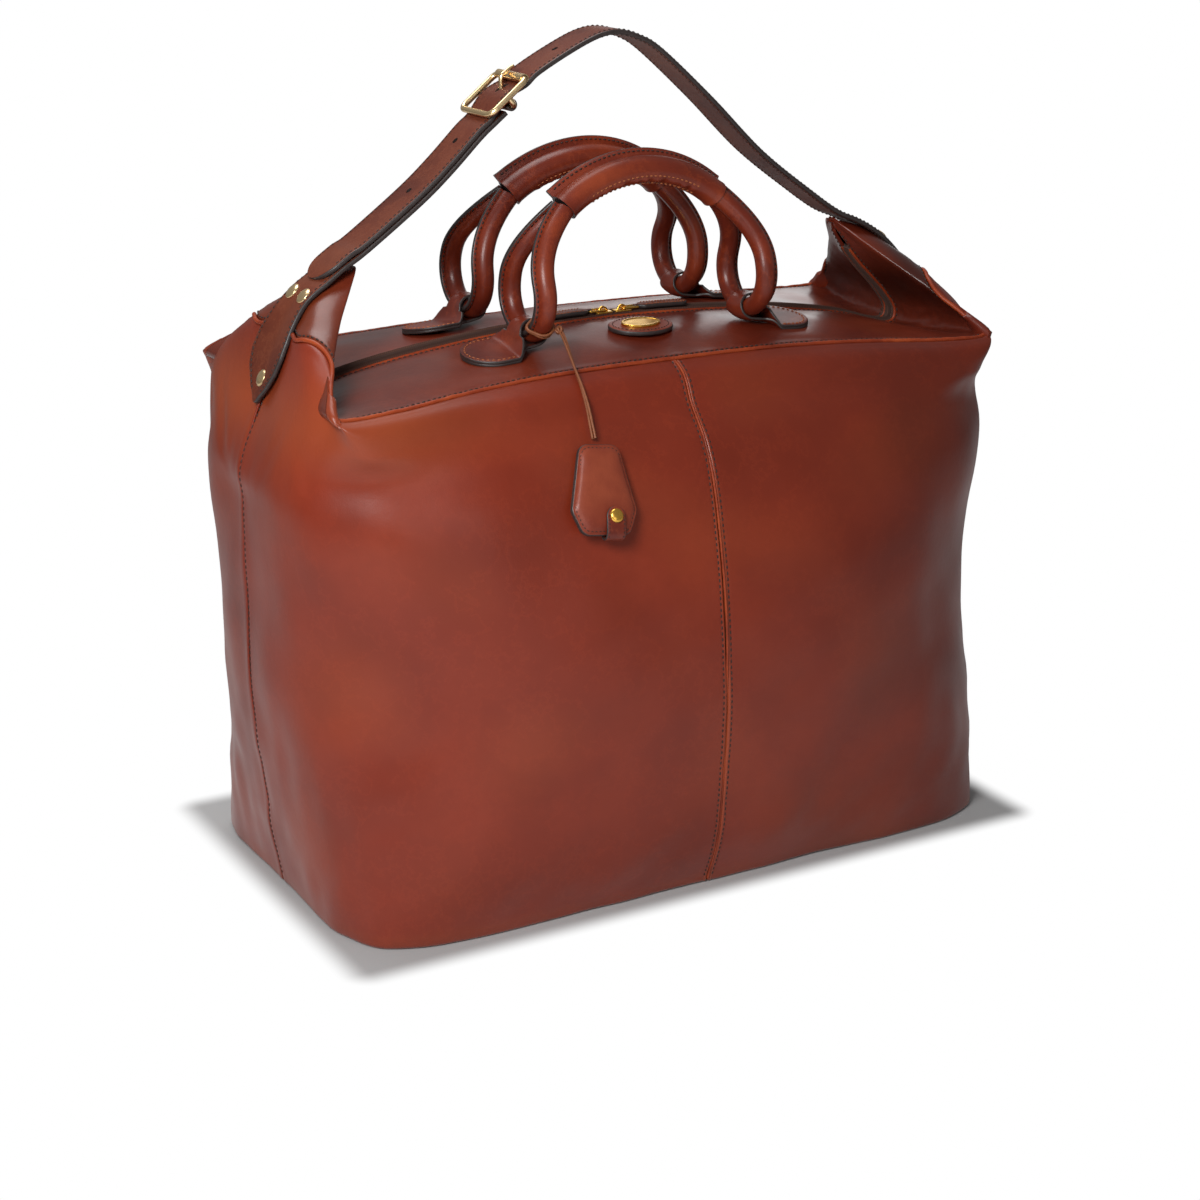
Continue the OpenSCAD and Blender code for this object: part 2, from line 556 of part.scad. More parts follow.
// A leaf stands on its edge, from depth y0 outwards (towards -Y)
module bell_leaf(y0, t, inset) in_bell() translate([0, -y0, 0]) rotate([90, 0, 0])
    linear_extrude(t) bell_outline(inset);
module bell_back() color(strap_leather) bell_leaf(0, leaf_t, 0);
module bell_front() color(strap_leather) bell_leaf(leaf_t + key_gap, leaf_t, 0);
module bell_keys() color(brass) in_bell() for (i = [0, 1])
    translate([i * 4 - 6, -leaf_t - 0.3 - 1.6 * i, 0]) rotate([90, 0, 0]) linear_extrude(1.2) {
        translate([0, 8]) circle(8);
        translate([-2, -bell_h / 2 + 4]) square([4, 28]);
    }
// Closing tab: from the back leaf round the bottom and up the front
flap_w = 13;
flap_t = 1.6;
flap_rise = 20;
flap_x = 5;
bell_depth = 2 * leaf_t + key_gap;
module bell_tab() color(strap_leather) in_bell() translate([flap_x, 0, -bell_h / 2 - 0.4]) {
    translate([-flap_w / 2, -bell_depth - 0.4 - flap_t, -flap_t])
        cube([flap_w, bell_depth + 0.4 + flap_t, flap_t]);
    translate([-flap_w / 2, -bell_depth - 0.4 - flap_t, -flap_t])
        cube([flap_w, flap_t, flap_rise - flap_w / 2]);
    translate([0, -bell_depth - 0.4, flap_rise - flap_w / 2 - flap_t]) rotate([90, 0, 0])
        cylinder(r = flap_w / 2, h = flap_t);
}
snap_r = 4.4;
module bell_snap() color(brass) in_bell()
    translate([flap_x, -bell_depth - 0.5 - flap_t, -bell_h / 2 - 0.4 + flap_rise - flap_w / 2 - flap_t])
    rotate([90, 0, 0]) rotate_extrude() intersection() {
        translate([0, -5.4]) circle(r = 7.2);
        square([snap_r, 4]);
    }

front_left_panel();
front_right_panel();
back_left_panel();
back_right_panel();
base_panel();
base_board();
lining();
top_front_panel();
top_back_panel();
front_piping();
back_piping();
front_zip_tape();
back_zip_tape();
front_zip_coil();
back_zip_coil();
left_slider();
right_slider();
left_puller_link();
right_puller_link();
left_pull_tab();
right_pull_tab();
front_left_loop();
front_right_loop();
back_left_loop();
back_right_loop();
front_handle_rope();
front_handle_grip();
back_handle_rope();
back_handle_grip();
strap();
strap_tip();
buckle_chape();
left_chape();
right_anchor();
left_rivets();
right_rivets();
buckle_frame();
buckle_roller();
buckle_prong();
oval_patch();
oval_plate();
lace_hitch();
bell_lace();
bell_front();
bell_back();
bell_tab();
bell_snap();
bell_keys();
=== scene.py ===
import json
import math

import bpy
import numpy as np
from mathutils import Matrix, Vector


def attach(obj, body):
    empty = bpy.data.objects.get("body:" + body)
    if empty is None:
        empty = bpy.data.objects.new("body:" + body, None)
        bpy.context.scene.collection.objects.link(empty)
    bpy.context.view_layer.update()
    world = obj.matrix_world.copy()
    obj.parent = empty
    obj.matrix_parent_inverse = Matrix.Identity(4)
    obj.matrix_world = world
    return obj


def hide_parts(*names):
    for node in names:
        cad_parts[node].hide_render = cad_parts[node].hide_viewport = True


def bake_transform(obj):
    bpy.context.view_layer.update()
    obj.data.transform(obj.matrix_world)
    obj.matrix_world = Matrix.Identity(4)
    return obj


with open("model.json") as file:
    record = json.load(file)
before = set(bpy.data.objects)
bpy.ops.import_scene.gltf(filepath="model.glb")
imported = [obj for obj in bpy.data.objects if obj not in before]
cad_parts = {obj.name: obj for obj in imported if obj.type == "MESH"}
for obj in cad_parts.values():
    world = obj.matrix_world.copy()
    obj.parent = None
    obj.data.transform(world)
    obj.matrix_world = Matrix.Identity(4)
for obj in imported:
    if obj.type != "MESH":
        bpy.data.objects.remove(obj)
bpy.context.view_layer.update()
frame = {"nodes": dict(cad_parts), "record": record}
bpy.ops.object.select_all(action="DESELECT")
print("frame loaded:", len(frame["nodes"]), "nodes")

mm = 0.001  # every length below is in millimetres


def turned(a, b, degrees):  # two coordinates turned anticlockwise
    c, s = math.cos(math.radians(degrees)), math.sin(math.radians(degrees))
    return a * c - b * s, a * s + b * c


# camera, floor and light

studio = {
    "target": (0, 0, 180),
    "distance": 1695,
    "azimuth": -29.6,
    "elevation": 18.0,
    "lens": 72,
    "shift": (-0.0033, -0.0217),
    "worldLight": 0.13,
    "mirrorLight": 0.12,  # added where the light is seen mirrored
    "footprint": (252, 146),
    "floorGlow": 0.02,
    "floorPale": 0.9,  # as the bag's metal and glass see it
    "floorPaintedShadow": 0.42,  # painted shadow: a darker floor grey close to the bag, where its real shadow also shows
    "whiteFrom": (0.001, 0.024),  # metres beyond the footprint over which the painted shadow fades and the floor turns white
    "lamps": {  # place, size, power in watts
        "keyLamp": ((-850, -800, 950), 500, 14.5),
        "topLamp": ((-100, 500, 1600), 1000, 11),
        "rimLamp": ((1150, 1450, 700), 900, 2.6),
        "fillLamp": ((-300, -1900, 500), 900, 3),
    },
}


def placeCamera():
    a, e = math.radians(studio["azimuth"]), math.radians(studio["elevation"])
    back = Vector((math.sin(a) * math.cos(e), -math.cos(a) * math.cos(e), math.sin(e)))
    bpy.ops.object.camera_add()
    camera = bpy.context.object
    camera.name = "studioCamera"
    camera.location = (Vector(studio["target"]) + back * studio["distance"]) * mm
    camera.rotation_mode = "QUATERNION"
    camera.rotation_quaternion = (-back).to_track_quat("-Z", "Y")
    camera.data.lens = studio["lens"]
    camera.data.sensor_width = 36
    camera.data.shift_x, camera.data.shift_y = studio["shift"]
    bpy.context.scene.camera = camera


def placeLamps():
    for name, (place, size, watts) in studio["lamps"].items():
        bpy.ops.object.light_add(type="AREA", location=[v * mm for v in place])
        lamp = bpy.context.object
        lamp.name = name
        lamp.data.shape = "DISK"
        lamp.data.size = size * mm
        lamp.data.energy = watts
        aim = Vector((0, 0, 0.2)) - lamp.location
        lamp.rotation_euler = aim.to_track_quat("-Z", "Y").to_euler()


placeCamera()
placeLamps()
bpy.context.scene.view_settings.view_transform = "Standard"
print("camera and lamps placed")


# shader board: sockets that can be added and multiplied, and one way to add a node


class Strand:  # one shader value
    def __init__(self, board, socket):
        self.board, self.socket = board, socket

    def maths(self, operation, a, b):
        return self.board.add("Math", {"operation": operation}, {0: a, 1: b})

    def __add__(self, other):
        return self.maths("ADD", self, other)

    __radd__ = __add__

    def __mul__(self, other):
        return self.maths("MULTIPLY", self, other)

    __rmul__ = __mul__


class Board:  # the nodes of one material
    def __init__(self, name):
        self.material = bpy.data.materials.new(name)
        self.material.use_nodes = True
        self.tree = self.material.node_tree
        self.shader = self.tree.nodes["Principled BSDF"]

    def add(self, kind, settings=None, values=None, out=0):
        node = self.tree.nodes.new("ShaderNode" + kind)
        for key, value in (settings or {}).items():
            if key == "stops":
                ramp = node.color_ramp.elements
                while len(ramp) < len(value):
                    ramp.new(0.5)
                for stop, (place, colour) in zip(ramp, value):
                    stop.position, stop.color = place, colour
            else:
                setattr(node, key, value)
        for key, value in (values or {}).items():
            self.feed(node.inputs[key], value)
        return Strand(self, node.outputs[out])

    def feed(self, socket, value):
        if isinstance(value, Strand):
            self.tree.links.new(value.socket, socket)
        else:
            socket.default_value = value

    def finish(self, values):
        for key, value in values.items():
            self.feed(self.shader.inputs[key], value)
        return self.material

    def spot(self):
        return self.add("TexCoord", out="Object")

    def noise(self, spot, size, detail=2.0, rough=0.5):  # size in millimetres
        return self.add("TexNoise", None, {"Vector": spot, "Scale": 1 / (size * mm), "Detail": detail,
                                           "Roughness": rough})

    def mix(self, share, a, b):
        return self.add("Mix", {"data_type": "RGBA"}, {0: share, 6: a, 7: b}, 2)

    def ramp(self, value, stops):
        return self.add("ValToRGB", {"stops": stops}, {"Fac": value})

    def bump(self, height, depth, strength=1.0, under=None):  # depth in millimetres
        values = {"Height": height, "Distance": depth * mm, "Strength": strength}
        if under is not None:
            values["Normal"] = under
        return self.add("Bump", None, values)


def paint(code, alpha=1.0):  # a screen colour such as "7d3a28" as the shader's linear colour
    parts = [int(code[i:i + 2], 16) / 255 for i in (0, 2, 4)]
    return tuple(p / 12.92 if p <= 0.04045 else ((p + 0.055) / 1.055) ** 2.4 for p in parts) + (alpha,)


def grey(level):
    return (level, level, level, 1)


# finishes

leatherLooks = {
    # dark, middle, light, roughness, coat, specular, size of the cloudy patches
    "wallLeather": ("6d2311", "772815", "822e18", 0.38, 0.08, 0.3, 120),
    "topLeather": ("52190e", "662414", "762e1b", 0.32, 0.2, 0.32, 90),
    "strapLeather": ("4d2016", "652f1e", "763f2a", 0.5, 0.02, 0.16, 60),
    "handleLeather": ("541a0e", "6c2614", "86371c", 0.36, 0.12, 0.3, 50),
    "weltLeather": ("702811", "8a3418", "a04620", 0.45, 0.04, 0.26, 30),
    "bellLeather": ("5c1f13", "78301e", "883e28", 0.4, 0.1, 0.3, 40),
}
leatherWearAndPaintedLight = {"worn": ("a04c28", 0.6), "deep": ("2a0d07", 0.85)}  # colour and strength: a pale orange for wear and painted highlight, a near black (deep) for painted shade


def leatherFinish(name):
    dark, middle, light, gloss, coat, mirror, patch = leatherLooks[name]
    board = Board(name)
    spot = board.spot()
    clouds = board.noise(spot, patch, 3.0, 0.55)
    colour = board.ramp(clouds, [(0.3, paint(dark)), (0.5, paint(middle)), (0.72, paint(light))])
    flecks = board.ramp(board.noise(spot, 9, 2.0, 0.6), [(0.35, grey(0)), (0.75, grey(0.2))])
    colour = board.mix(flecks, colour, paint(dark))
    marks = board.ramp(board.noise(spot, 30, 6.0, 0.66), [(0.47, grey(0)), (0.5, grey(0.45)),
                                                          (0.512, grey(0))])
    colour = board.mix(marks, colour, paint(light))
    # painted highlight and wear, and painted shade, read from each piece's attributes
    for place, (tone, share) in leatherWearAndPaintedLight.items():
        amount = board.add("Attribute", {"attribute_name": place}, out="Fac")
        colour = board.mix(amount * share, colour, paint(tone))
    grain = board.add("TexVoronoi", {"feature": "SMOOTH_F1"},
                      {"Vector": spot, "Scale": 1 / (0.9 * mm), "Smoothness": 0.6}, "Distance")
    pores = board.noise(spot, 0.5, 2.0)
    creases = board.noise(spot, 6, 3.0, 0.6)
    relief = board.bump(grain * 0.6 + pores * 0.5, 0.09, 0.55)
    relief = board.bump(creases, 0.5, 0.22, relief)
    shine = board.noise(spot, 45, 2.0)
    return board.finish({"Base Color": colour, "Roughness": shine * 0.16 + (gloss - 0.06),
                         "Normal": relief, "Coat Weight": coat, "Coat Roughness": 0.22,
                         "Specular IOR Level": mirror})


def plainFinish(name, colour, second, size, rough, depth, metal):
    board = Board(name)
    spot = board.spot()
    cloud = board.noise(spot, size, 3.0, 0.6)
    relief = board.bump(board.noise(spot, size * 0.4, 2.0), depth, 0.6)
    return board.finish({"Base Color": board.mix(cloud, paint(colour), paint(second)),
                         "Roughness": cloud * 0.18 + (rough - 0.09), "Normal": relief,
                         "Metallic": metal})


def wovenFinish(name, colour, second, pitch):
    board = Board(name)
    spot = board.spot()
    across, along = (board.add("TexWave", {"wave_type": "BANDS", "bands_direction": way},
                               {"Vector": spot, "Scale": 1 / (pitch * mm * 6.28)}) for way in "XY")
    weave = across * along
    colours = board.mix(weave, paint(second), paint(colour))
    return board.finish({"Base Color": colours, "Roughness": 0.8, "Normal": board.bump(weave, 0.15),
                         "Sheen Weight": 0.2})


plainLooks = {
    # two colours, size of the patches, roughness, depth of the bumps, metal
    "edgePaint": ("241d1c", "39302e", 6, 0.42, 0.1, 0),
    "darkThread": ("1d0f0b", "331a12", 1.2, 0.7, 0.1, 0),
    "tanThread": ("8a4724", "a35c30", 1.2, 0.7, 0.1, 0),
    "laceLeather": ("6b3a20", "8d5230", 5, 0.5, 0.1, 0),
    "paleBrass": ("fbe0b2", "f3cf97", 14, 0.27, 0.03, 1),
    "yellowBrass": ("f5c660", "e6ad45", 10, 0.28, 0.04, 1),
    "zipCoil": ("351d14", "4a2a1e", 3, 0.4, 0.05, 0),
    "fibreBoard": ("75634c", "5d4d3a", 4, 0.85, 0.2, 0),
}
wovenLooks = {  # two colours and the pitch of the weave
    "zipTape": ("56301f", "3a2015", 0.7),
    "liningCloth": ("9a8a66", "80714f", 0.9),
}


def makeFinishes():
    made = {name: leatherFinish(name) for name in leatherLooks}
    made.update({name: plainFinish(name, *look) for name, look in plainLooks.items()})
    made.update({name: wovenFinish(name, *look) for name, look in wovenLooks.items()})
    return made


finishes = makeFinishes()
print("finishes made:", len(finishes))


# making pieces


def newPiece(name, points, faces, looks, body, faceLooks=None, slot=None, nodes=(), angle=35):
    mesh = bpy.data.meshes.new(name)
    mesh.from_pydata((np.asarray(points, float) * mm).tolist(), [], faces)
    mesh.validate()
    piece = bpy.data.objects.new(name, mesh)
    bpy.context.scene.collection.objects.link(piece)
    for look in looks:
        mesh.materials.append(finishes[look])
    if faceLooks is not None:
        mesh.polygons.foreach_set("material_index", np.asarray(faceLooks, np.int32))
    return settle(piece, body, nodes, angle)


def settle(piece, body, nodes=(), angle=35, outwards=True):
    bpy.ops.object.select_all(action="DESELECT")
    bpy.context.view_layer.objects.active = piece
    piece.select_set(True)
    bpy.ops.object.transform_apply(location=True, rotation=True, scale=True)
    bpy.ops.object.mode_set(mode="EDIT")
    bpy.ops.mesh.select_all(action="SELECT")
    bpy.ops.mesh.remove_doubles(threshold=0.000002)
    if outwards:
        bpy.ops.mesh.normals_make_consistent(inside=False)
    bpy.ops.object.mode_set(mode="OBJECT")
    bpy.ops.object.shade_smooth_by_angle(angle=math.radians(angle))
    piece.select_set(False)
    if body is not None:
        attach(piece, body)
    if nodes:
        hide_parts(*nodes)
    return piece


def unit(v):
    return v / np.maximum(np.linalg.norm(v, axis=-1, keepdims=True), 1e-9)


def spline(a, b, c, d, t):
    return 0.5 * (2 * b + (c - a) * t + (2 * a - 5 * b + 4 * c - d) * t * t
                  + (3 * b - a - 3 * c + d) * t ** 3)


def smoothLine(line, n):  # the same rounding of a line as the CAD source has
    line = np.asarray(line, float)
    last = len(line) - 1
    points = []
    for i in range(last):
        a, b, c, d = (line[min(max(i + m, 0), last)] for m in (-1, 0, 1, 2))
        points += [spline(a, b, c, d, j / n) for j in range(n)]
    return np.array(points + [line[last]])


def runsOf(line):  # how far each point of a line is from its start
    return np.concatenate([[0], np.cumsum(np.linalg.norm(np.diff(line, axis=0), axis=1))])


def pick(at, runs, values):  # values of the line read at other distances along it
    return np.stack([np.interp(at, runs, values[:, i]) for i in range(values.shape[1])], axis=1)


def evenLine(line, step):  # the line cut into equal steps
    line = np.asarray(line, float)
    runs = runsOf(line)
    count = max(int(round(runs[-1] / step)), 2)
    return pick(np.linspace(0, runs[-1], count + 1), runs, line)


def tangents(line):
    return unit(np.gradient(np.asarray(line, float), axis=0))


def ringFaces(rings, around, closed=True, caps=True):
    faces, span = [], around if closed else around - 1
    for i in range(rings - 1):
        for j in range(span):
            a, b = i * around + j, i * around + (j + 1) % around
            faces.append((a, b, b + around, a + around))
    if caps:
        faces.append(tuple(range(around - 1, -1, -1)))
        faces.append(tuple(range((rings - 1) * around, rings * around)))
    return faces


def roundWays(sides):  # directions once round
    turn = np.arange(sides) * 2 * np.pi / sides
    return np.stack([np.cos(turn), np.sin(turn)], axis=1)


def tubeRings(line, radius, sides, hint=(0, 0, 1), section=None):
    t = tangents(line)
    u = unit(np.cross(np.asarray(hint, float), t))
    v = np.cross(t, u)
    if section is None:
        section = roundWays(sides)
    radius = np.broadcast_to(np.asarray(radius, float), (len(line),))
    section = np.asarray(section, float)
    if section.ndim == 2:
        section = np.broadcast_to(section, (len(line),) + section.shape)
    return (np.asarray(line)[:, None] + radius[:, None, None] * (
        section[..., :1] * u[:, None] + section[..., 1:] * v[:, None]))


def tubePiece(name, line, radius, sides, look, body, hint=(0, 0, 1), **words):
    rings = tubeRings(line, radius, sides, hint)
    return newPiece(name, rings.reshape(-1, 3), ringFaces(len(rings), sides), [look], body, angle=60, **words)


def addFloor():
    board = Board("paleFloor")
    tree = board.tree
    rays = tree.nodes.new("ShaderNodeLightPath")
    glow = board.add("Emission", None, {"Color": grey(1), "Strength": studio["floorGlow"]})
    plain = board.add("BsdfDiffuse", None, {"Color": grey(studio["floorPale"])})
    # painted shadow: the floor close to the footprint is a darker grey, fading to white further out
    near = board.add("BsdfDiffuse", None, {"Color": grey(studio["floorPaintedShadow"])})
    both = board.add("AddShader", None, {0: near, 1: glow})
    seen = Strand(board, rays.outputs["Is Camera Ray"]) + Strand(board, rays.outputs["Is Transmission Ray"])
    past = board.add("VectorMath", {"operation": "ABSOLUTE"}, {0: board.spot()})
    past = board.add("VectorMath", {"operation": "SUBTRACT"},
                     {0: past, 1: tuple(v * mm for v in studio["footprint"]) + (0,)})
    past = board.add("VectorMath", {"operation": "MAXIMUM"}, {0: past, 1: (0, 0, 0)})
    reach = board.add("VectorMath", {"operation": "LENGTH"}, {0: past}, "Value")
    away = board.add("MapRange", {"interpolation_type": "SMOOTHSTEP"},
                     {"Value": reach, "From Min": studio["whiteFrom"][0], "From Max": studio["whiteFrom"][1]})
    white = board.add("Emission", None, {"Color": grey(1), "Strength": 1.0})
    lit = board.add("MixShader", None, {0: away, 1: both, 2: white})
    shown = board.add("MixShader", None, {0: seen, 1: plain, 2: lit})
    board.feed(tree.nodes["Material Output"].inputs["Surface"], shown)
    bpy.ops.mesh.primitive_plane_add(size=24, location=(0, 0, -0.0003))
    floor = bpy.context.object
    floor.name = "studioFloor"
    floor.data.materials.append(board.material)
    world = bpy.context.scene.world or bpy.data.worlds.new("studioWorld")
    bpy.context.scene.world = world
    world.use_nodes = True
    sky = world.node_tree
    lightRays = sky.nodes.new("ShaderNodeLightPath")
    level = sky.nodes.new("ShaderNodeMapRange")  # white behind the bag, softer as a lamp
    level.inputs["To Min"].default_value = studio["worldLight"]
    level.inputs["To Max"].default_value = 1.0
    sky.links.new(lightRays.outputs["Is Camera Ray"], level.inputs["Value"])
    mirror = sky.nodes.new("ShaderNodeMapRange")
    mirror.inputs["To Max"].default_value = studio["mirrorLight"]
    sky.links.new(lightRays.outputs["Is Glossy Ray"], mirror.inputs["Value"])
    total = sky.nodes.new("ShaderNodeMath")
    sky.links.new(level.outputs[0], total.inputs[0])
    sky.links.new(mirror.outputs[0], total.inputs[1])
    sky.nodes["Background"].inputs["Color"].default_value = (1, 1, 1, 1)
    sky.links.new(total.outputs[0], sky.nodes["Background"].inputs["Strength"])


addFloor()


# key bell's lace, the one free cord: two thin strands side by side

lace = {
    "route": [(-73, -72, 376), (-73, -77, 372), (-74, -86, 364), (-76, -97, 356), (-77, -107, 347),
              (-78, -116, 337), (-80, -125, 326), (-81, -130, 319)],
    "strand": 0.85,
    "apart": 0.95,
    "turns": 0.8,
}


def makeLace():
    route = smoothLine(lace["route"], 4)
    t = tangents(route)
    u = unit(np.cross((1, 0, 0), t))
    v = np.cross(t, u)
    turn = np.linspace(0, lace["turns"] * np.pi, len(route))[:, None]
    offset = lace["apart"] * (np.cos(turn) * v + np.sin(turn) * u)
    made = []
    for name, side in (("laceStrandLeft", -1), ("laceStrandRight", 1)):
        line = route + side * offset
        strand = tubePiece(name, line, lace["strand"], 8, "laceLeather", "key_bell", (1, 0, 0),
                           slot="strap_leather", nodes=["bell_lace"] if side < 0 else ())
        made.append((strand, line))
    return made


laceStrands = makeLace()
print("lace made")


# stitches


def stitchShape():
    bpy.ops.mesh.primitive_uv_sphere_add(segments=6, ring_count=4, radius=1)
    ball = bpy.context.object
    points = np.array([v.co for v in ball.data.vertices])[:, [2, 0, 1]]
    faces = [tuple(f.vertices) for f in ball.data.polygons]
    bpy.data.objects.remove(ball)
    points[:, 2] = points[:, 2] - 0.5 * points[:, 0] ** 2  # ends dip into the leather
    return points, faces


stitchPoints, stitchFaces = stitchShape()


stitch = {"size": (3.9, 2.8, 0.6), "proud": 0.15}  # pitch, length and thickness; height above the leather


def sew(name, rows, thread, body, size=stitch["size"], slot=None, blend=None):
    (pitch, length, thick), proud = size, stitch["proud"]
    points, faces, count = [], [], 0
    for line, normals in rows:
        line, normals = np.asarray(line, float), np.asarray(normals, float)
        runs = runsOf(line)
        number = max(int(runs[-1] / pitch), 1)
        at = (np.arange(number) + 0.5) * runs[-1] / number
        spots = pick(at, runs, line)
        up = unit(pick(at, runs, normals))
        t = unit(pick(at + 0.3, runs, line) - pick(at - 0.3, runs, line))
        side = unit(np.cross(up, t))
        up = np.cross(t, side)
        for p, a, b, c in zip(spots, t, side, up):
            points.append(p + proud * c + stitchPoints[:, :1] * a * length / 2
                          + stitchPoints[:, 1:2] * b * thick + stitchPoints[:, 2:] * c * thick)
            faces += [tuple(i + count for i in f) for f in stitchFaces]
            count += len(stitchPoints)
    piece = newPiece(name, np.concatenate(points), faces, [thread], None if blend else body, slot=slot,
                     angle=60)
    if blend:
        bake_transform(piece)
    return piece


# bag shell

bag = {
    "topNet": [  # zip edge, middle of the top, ridge, shoulder; from the middle of the side to the ear
        [[0, 6.5, 366], [0, 52, 363], [0, 100, 350], [0, 116, 328]],
        [[77, 6.5, 363.5], [78, 52, 361], [80, 100, 349.5], [81, 116, 328]],
        [[140, 6.5, 357.5], [143, 54, 356], [150, 104, 347], [154, 118, 326]],
        [[192, 6.5, 349], [199, 58, 349], [205, 110, 344], [207, 121, 325]],
        [[232, 6.5, 338], [238, 60, 341], [245, 110, 345], [236, 116, 325]],
        [[240, 6.2, 347], [241, 48, 352], [240, 88, 358], [249, 93, 338]],
        [[229, 5.5, 363], [230, 36, 367], [229, 66, 371], [249, 69, 359]],
        [[208, 5, 384], [208, 20, 389], [208, 34, 394], [238.5, 36, 380]],
        [[193, 4, 402], [191, 7, 408], [190, 10, 413], [227, 11, 393]],
        [[189, 2, 408], [187, 1, 413], [187, 0, 416], [223, 0, 397]]],
    "wallRows": [(305, 265, 133.7, 4.2), (270, 267, 147.4, 3.8), (200, 268, 161, 2.8), (140, 268, 163, 2.8),
                 (50, 258, 157, 4.4), (3, 251, 143, 8)],  # height, half length, half width, squareness
    "wallWays": [(0, 1), (0.32, 1), (0.61, 1), (0.82, 1), (1, 0.94), (1, 0.67), (1, 0.44), (1, 0.23),
                 (1, 0.07), (1, 0)],
    "seamRows": [1.78, 1.78, 1.8, 1.82, 1.85, 1.9, 2.05, 3.05, 3.15, 3.2],
    "leather": 2.4,
    "footRoll": 3.0,
    "columns": 74,
    "rows": 84,
}
lastStation, baseRow, fullRound = 9, 9, 36


def outlinePoint(row, way):
    z, a, b, n = row
    r = (abs(way[0]) ** n + abs(way[1]) ** n) ** (-1 / n)
    return (a * way[0] * r, b * way[1] * r, z)


def spreadNet():
    net = np.array([bag["topNet"][i] + [outlinePoint(row, bag["wallWays"][i]) for row in bag["wallRows"]]
                    for i in range(lastStation + 1)], float)
    tall = np.concatenate([2 * net[:, :1] - net[:, 1:2], net, 2 * net[:, -1:] - net[:, -2:-1]], axis=1)
    return np.concatenate([tall[1:2] * (-1, 1, 1), tall, tall[-2:-1] * (1, -1, 1)])


wideNet = spreadNet()


def skin(s, k):  # point of the bag's skin: s once round the bag, k from the zip down to the base
    s, k = np.broadcast_arrays(np.asarray(s, float) % fullRound, np.asarray(k, float))
    q = np.floor(s / lastStation).astype(int)
    u = np.where(q % 2 == 0, s - q * lastStation, (q + 1) * lastStation - s)
    i = np.minimum(np.floor(u), lastStation - 1).astype(int)
    j = np.clip(np.floor(k), 0, baseRow - 1).astype(int)
    a, b = (k - j)[..., None], (u - i)[..., None]
    columns = [spline(*(wideNet[i + m, j + n] for n in range(4)), a) for m in range(4)]
    mirror = np.stack([np.where(q < 2, 1, -1), np.where((q == 0) | (q == 3), -1, 1), np.ones_like(q)], -1)
    return spline(*columns, b) * mirror


def outward(s, k, e=0.02):
    return unit(np.cross(skin(s, k + e) - skin(s, np.maximum(k - e, 0)), skin(s + e, k) - skin(s - e, k)))


def stationOf(s):  # station within a quarter, 0 to 9
    s = np.asarray(s, float) % fullRound
    q = np.floor(s / lastStation)
    return np.where(q % 2 == 0, s - q * lastStation, (q + 1) * lastStation - s)


def easedSeam():  # the rows of the seam with their corners rounded off
    fine = np.interp(np.arange(-10, 101) / 10, range(lastStation + 1), bag["seamRows"])
    weights = np.hanning(13)
    return np.convolve(fine, weights / weights.sum(), "same")[10:-10]


seamTable = easedSeam()


def seamRow(s):
    return np.interp(stationOf(s) * 10, range(91), seamTable)


def rowPitch(s):  # millimetres to one row, at the seam
    row = seamRow(s)
    return np.linalg.norm(skin(s, row + 0.05) - skin(s, row - 0.05), axis=-1) / 0.1


def zipPitch(s):  # and at the zip
    return np.linalg.norm(skin(s, 0.1) - skin(s, 0.0), axis=-1) / 0.1


def columnPitch(s, k, e):  # millimetres to one station
    return np.linalg.norm(skin(s + e, k) - skin(s - e, k), axis=-1) / (2 * e)


def waves(points, size, seed, count=18):  # smooth random swell, about -1 to 1
    chance = np.random.default_rng(seed)
    ways = unit(chance.normal(size=(count, 3)))
    sizes = size * chance.uniform(0.7, 1.5, count)
    turns = chance.uniform(0, 2 * np.pi, count)
    return np.cos(points @ (ways * (2 * np.pi / sizes)[:, None]).T + turns).sum(-1) * (1.4 / count ** 0.5)


def bell(x, width):
    return np.exp(-(x / width) ** 2)


folds = [  # s, k of both ends, width, depth: the creases below and beside the ears
    (5.1, 3.0, 5.9, 3.9, 7, 2.6), (4.6, 2.75, 4.9, 4.1, 8, 2.2), (6.3, 3.4, 7.0, 4.3, 6, 1.8),
    (3.7, 3.0, 3.3, 3.9, 10, 1.6), (5.6, 3.5, 5.2, 4.4, 6, 1.5), (7.4, 3.7, 7.2, 4.7, 7, 1.2),
]


def grooves(points):
    depth = np.zeros(points.shape[:-1])
    for index, (s0, k0, s1, k1, width, deep) in enumerate(folds):
        for quadrant in range(4):
            way = 1 if quadrant % 2 == 0 else -1
            base = quadrant * lastStation if way == 1 else (quadrant + 1) * lastStation
            wander = 0.25 * math.sin(3.1 * index + 1.7 * quadrant)
            t = np.linspace(0, 1, 12)
            line = skin(base + way * (s0 + (s1 - s0) * t + wander * np.sin(t * 3)), k0 + (k1 - k0) * t)
            gap = np.linalg.norm(points[..., None, :] - line, axis=-1)
            near = gap.min(-1)
            share = gap.argmin(-1) / 11
            strength = 0.6 + 0.4 * math.cos(2.3 * index + 1.1 * quadrant)
            depth += strength * deep * (bell(near, width) - 0.45 * bell(near, 2.2 * width)) * np.sin(
                np.pi * np.clip(share, 0.04, 0.96)) ** 0.7
    return depth


swells = {  # height, size and seed of each random swell, and how many waves it sums
    "wallWide": (0.9, 130, 11), "wallSmall": (0.35, 48, 12), "foot": (0.5, 30, 13), "top": (0.45, 60, 21),
    "pleats": (0.22, 5.5, 23, 30), "ears": (0.28, 22, 24, 24),
}
pleatsToStation = 62 / 7.5  # fine pleats in the valley before each ear


def swell(points, name):
    height, *rest = swells[name]
    return height * waves(points, *rest)


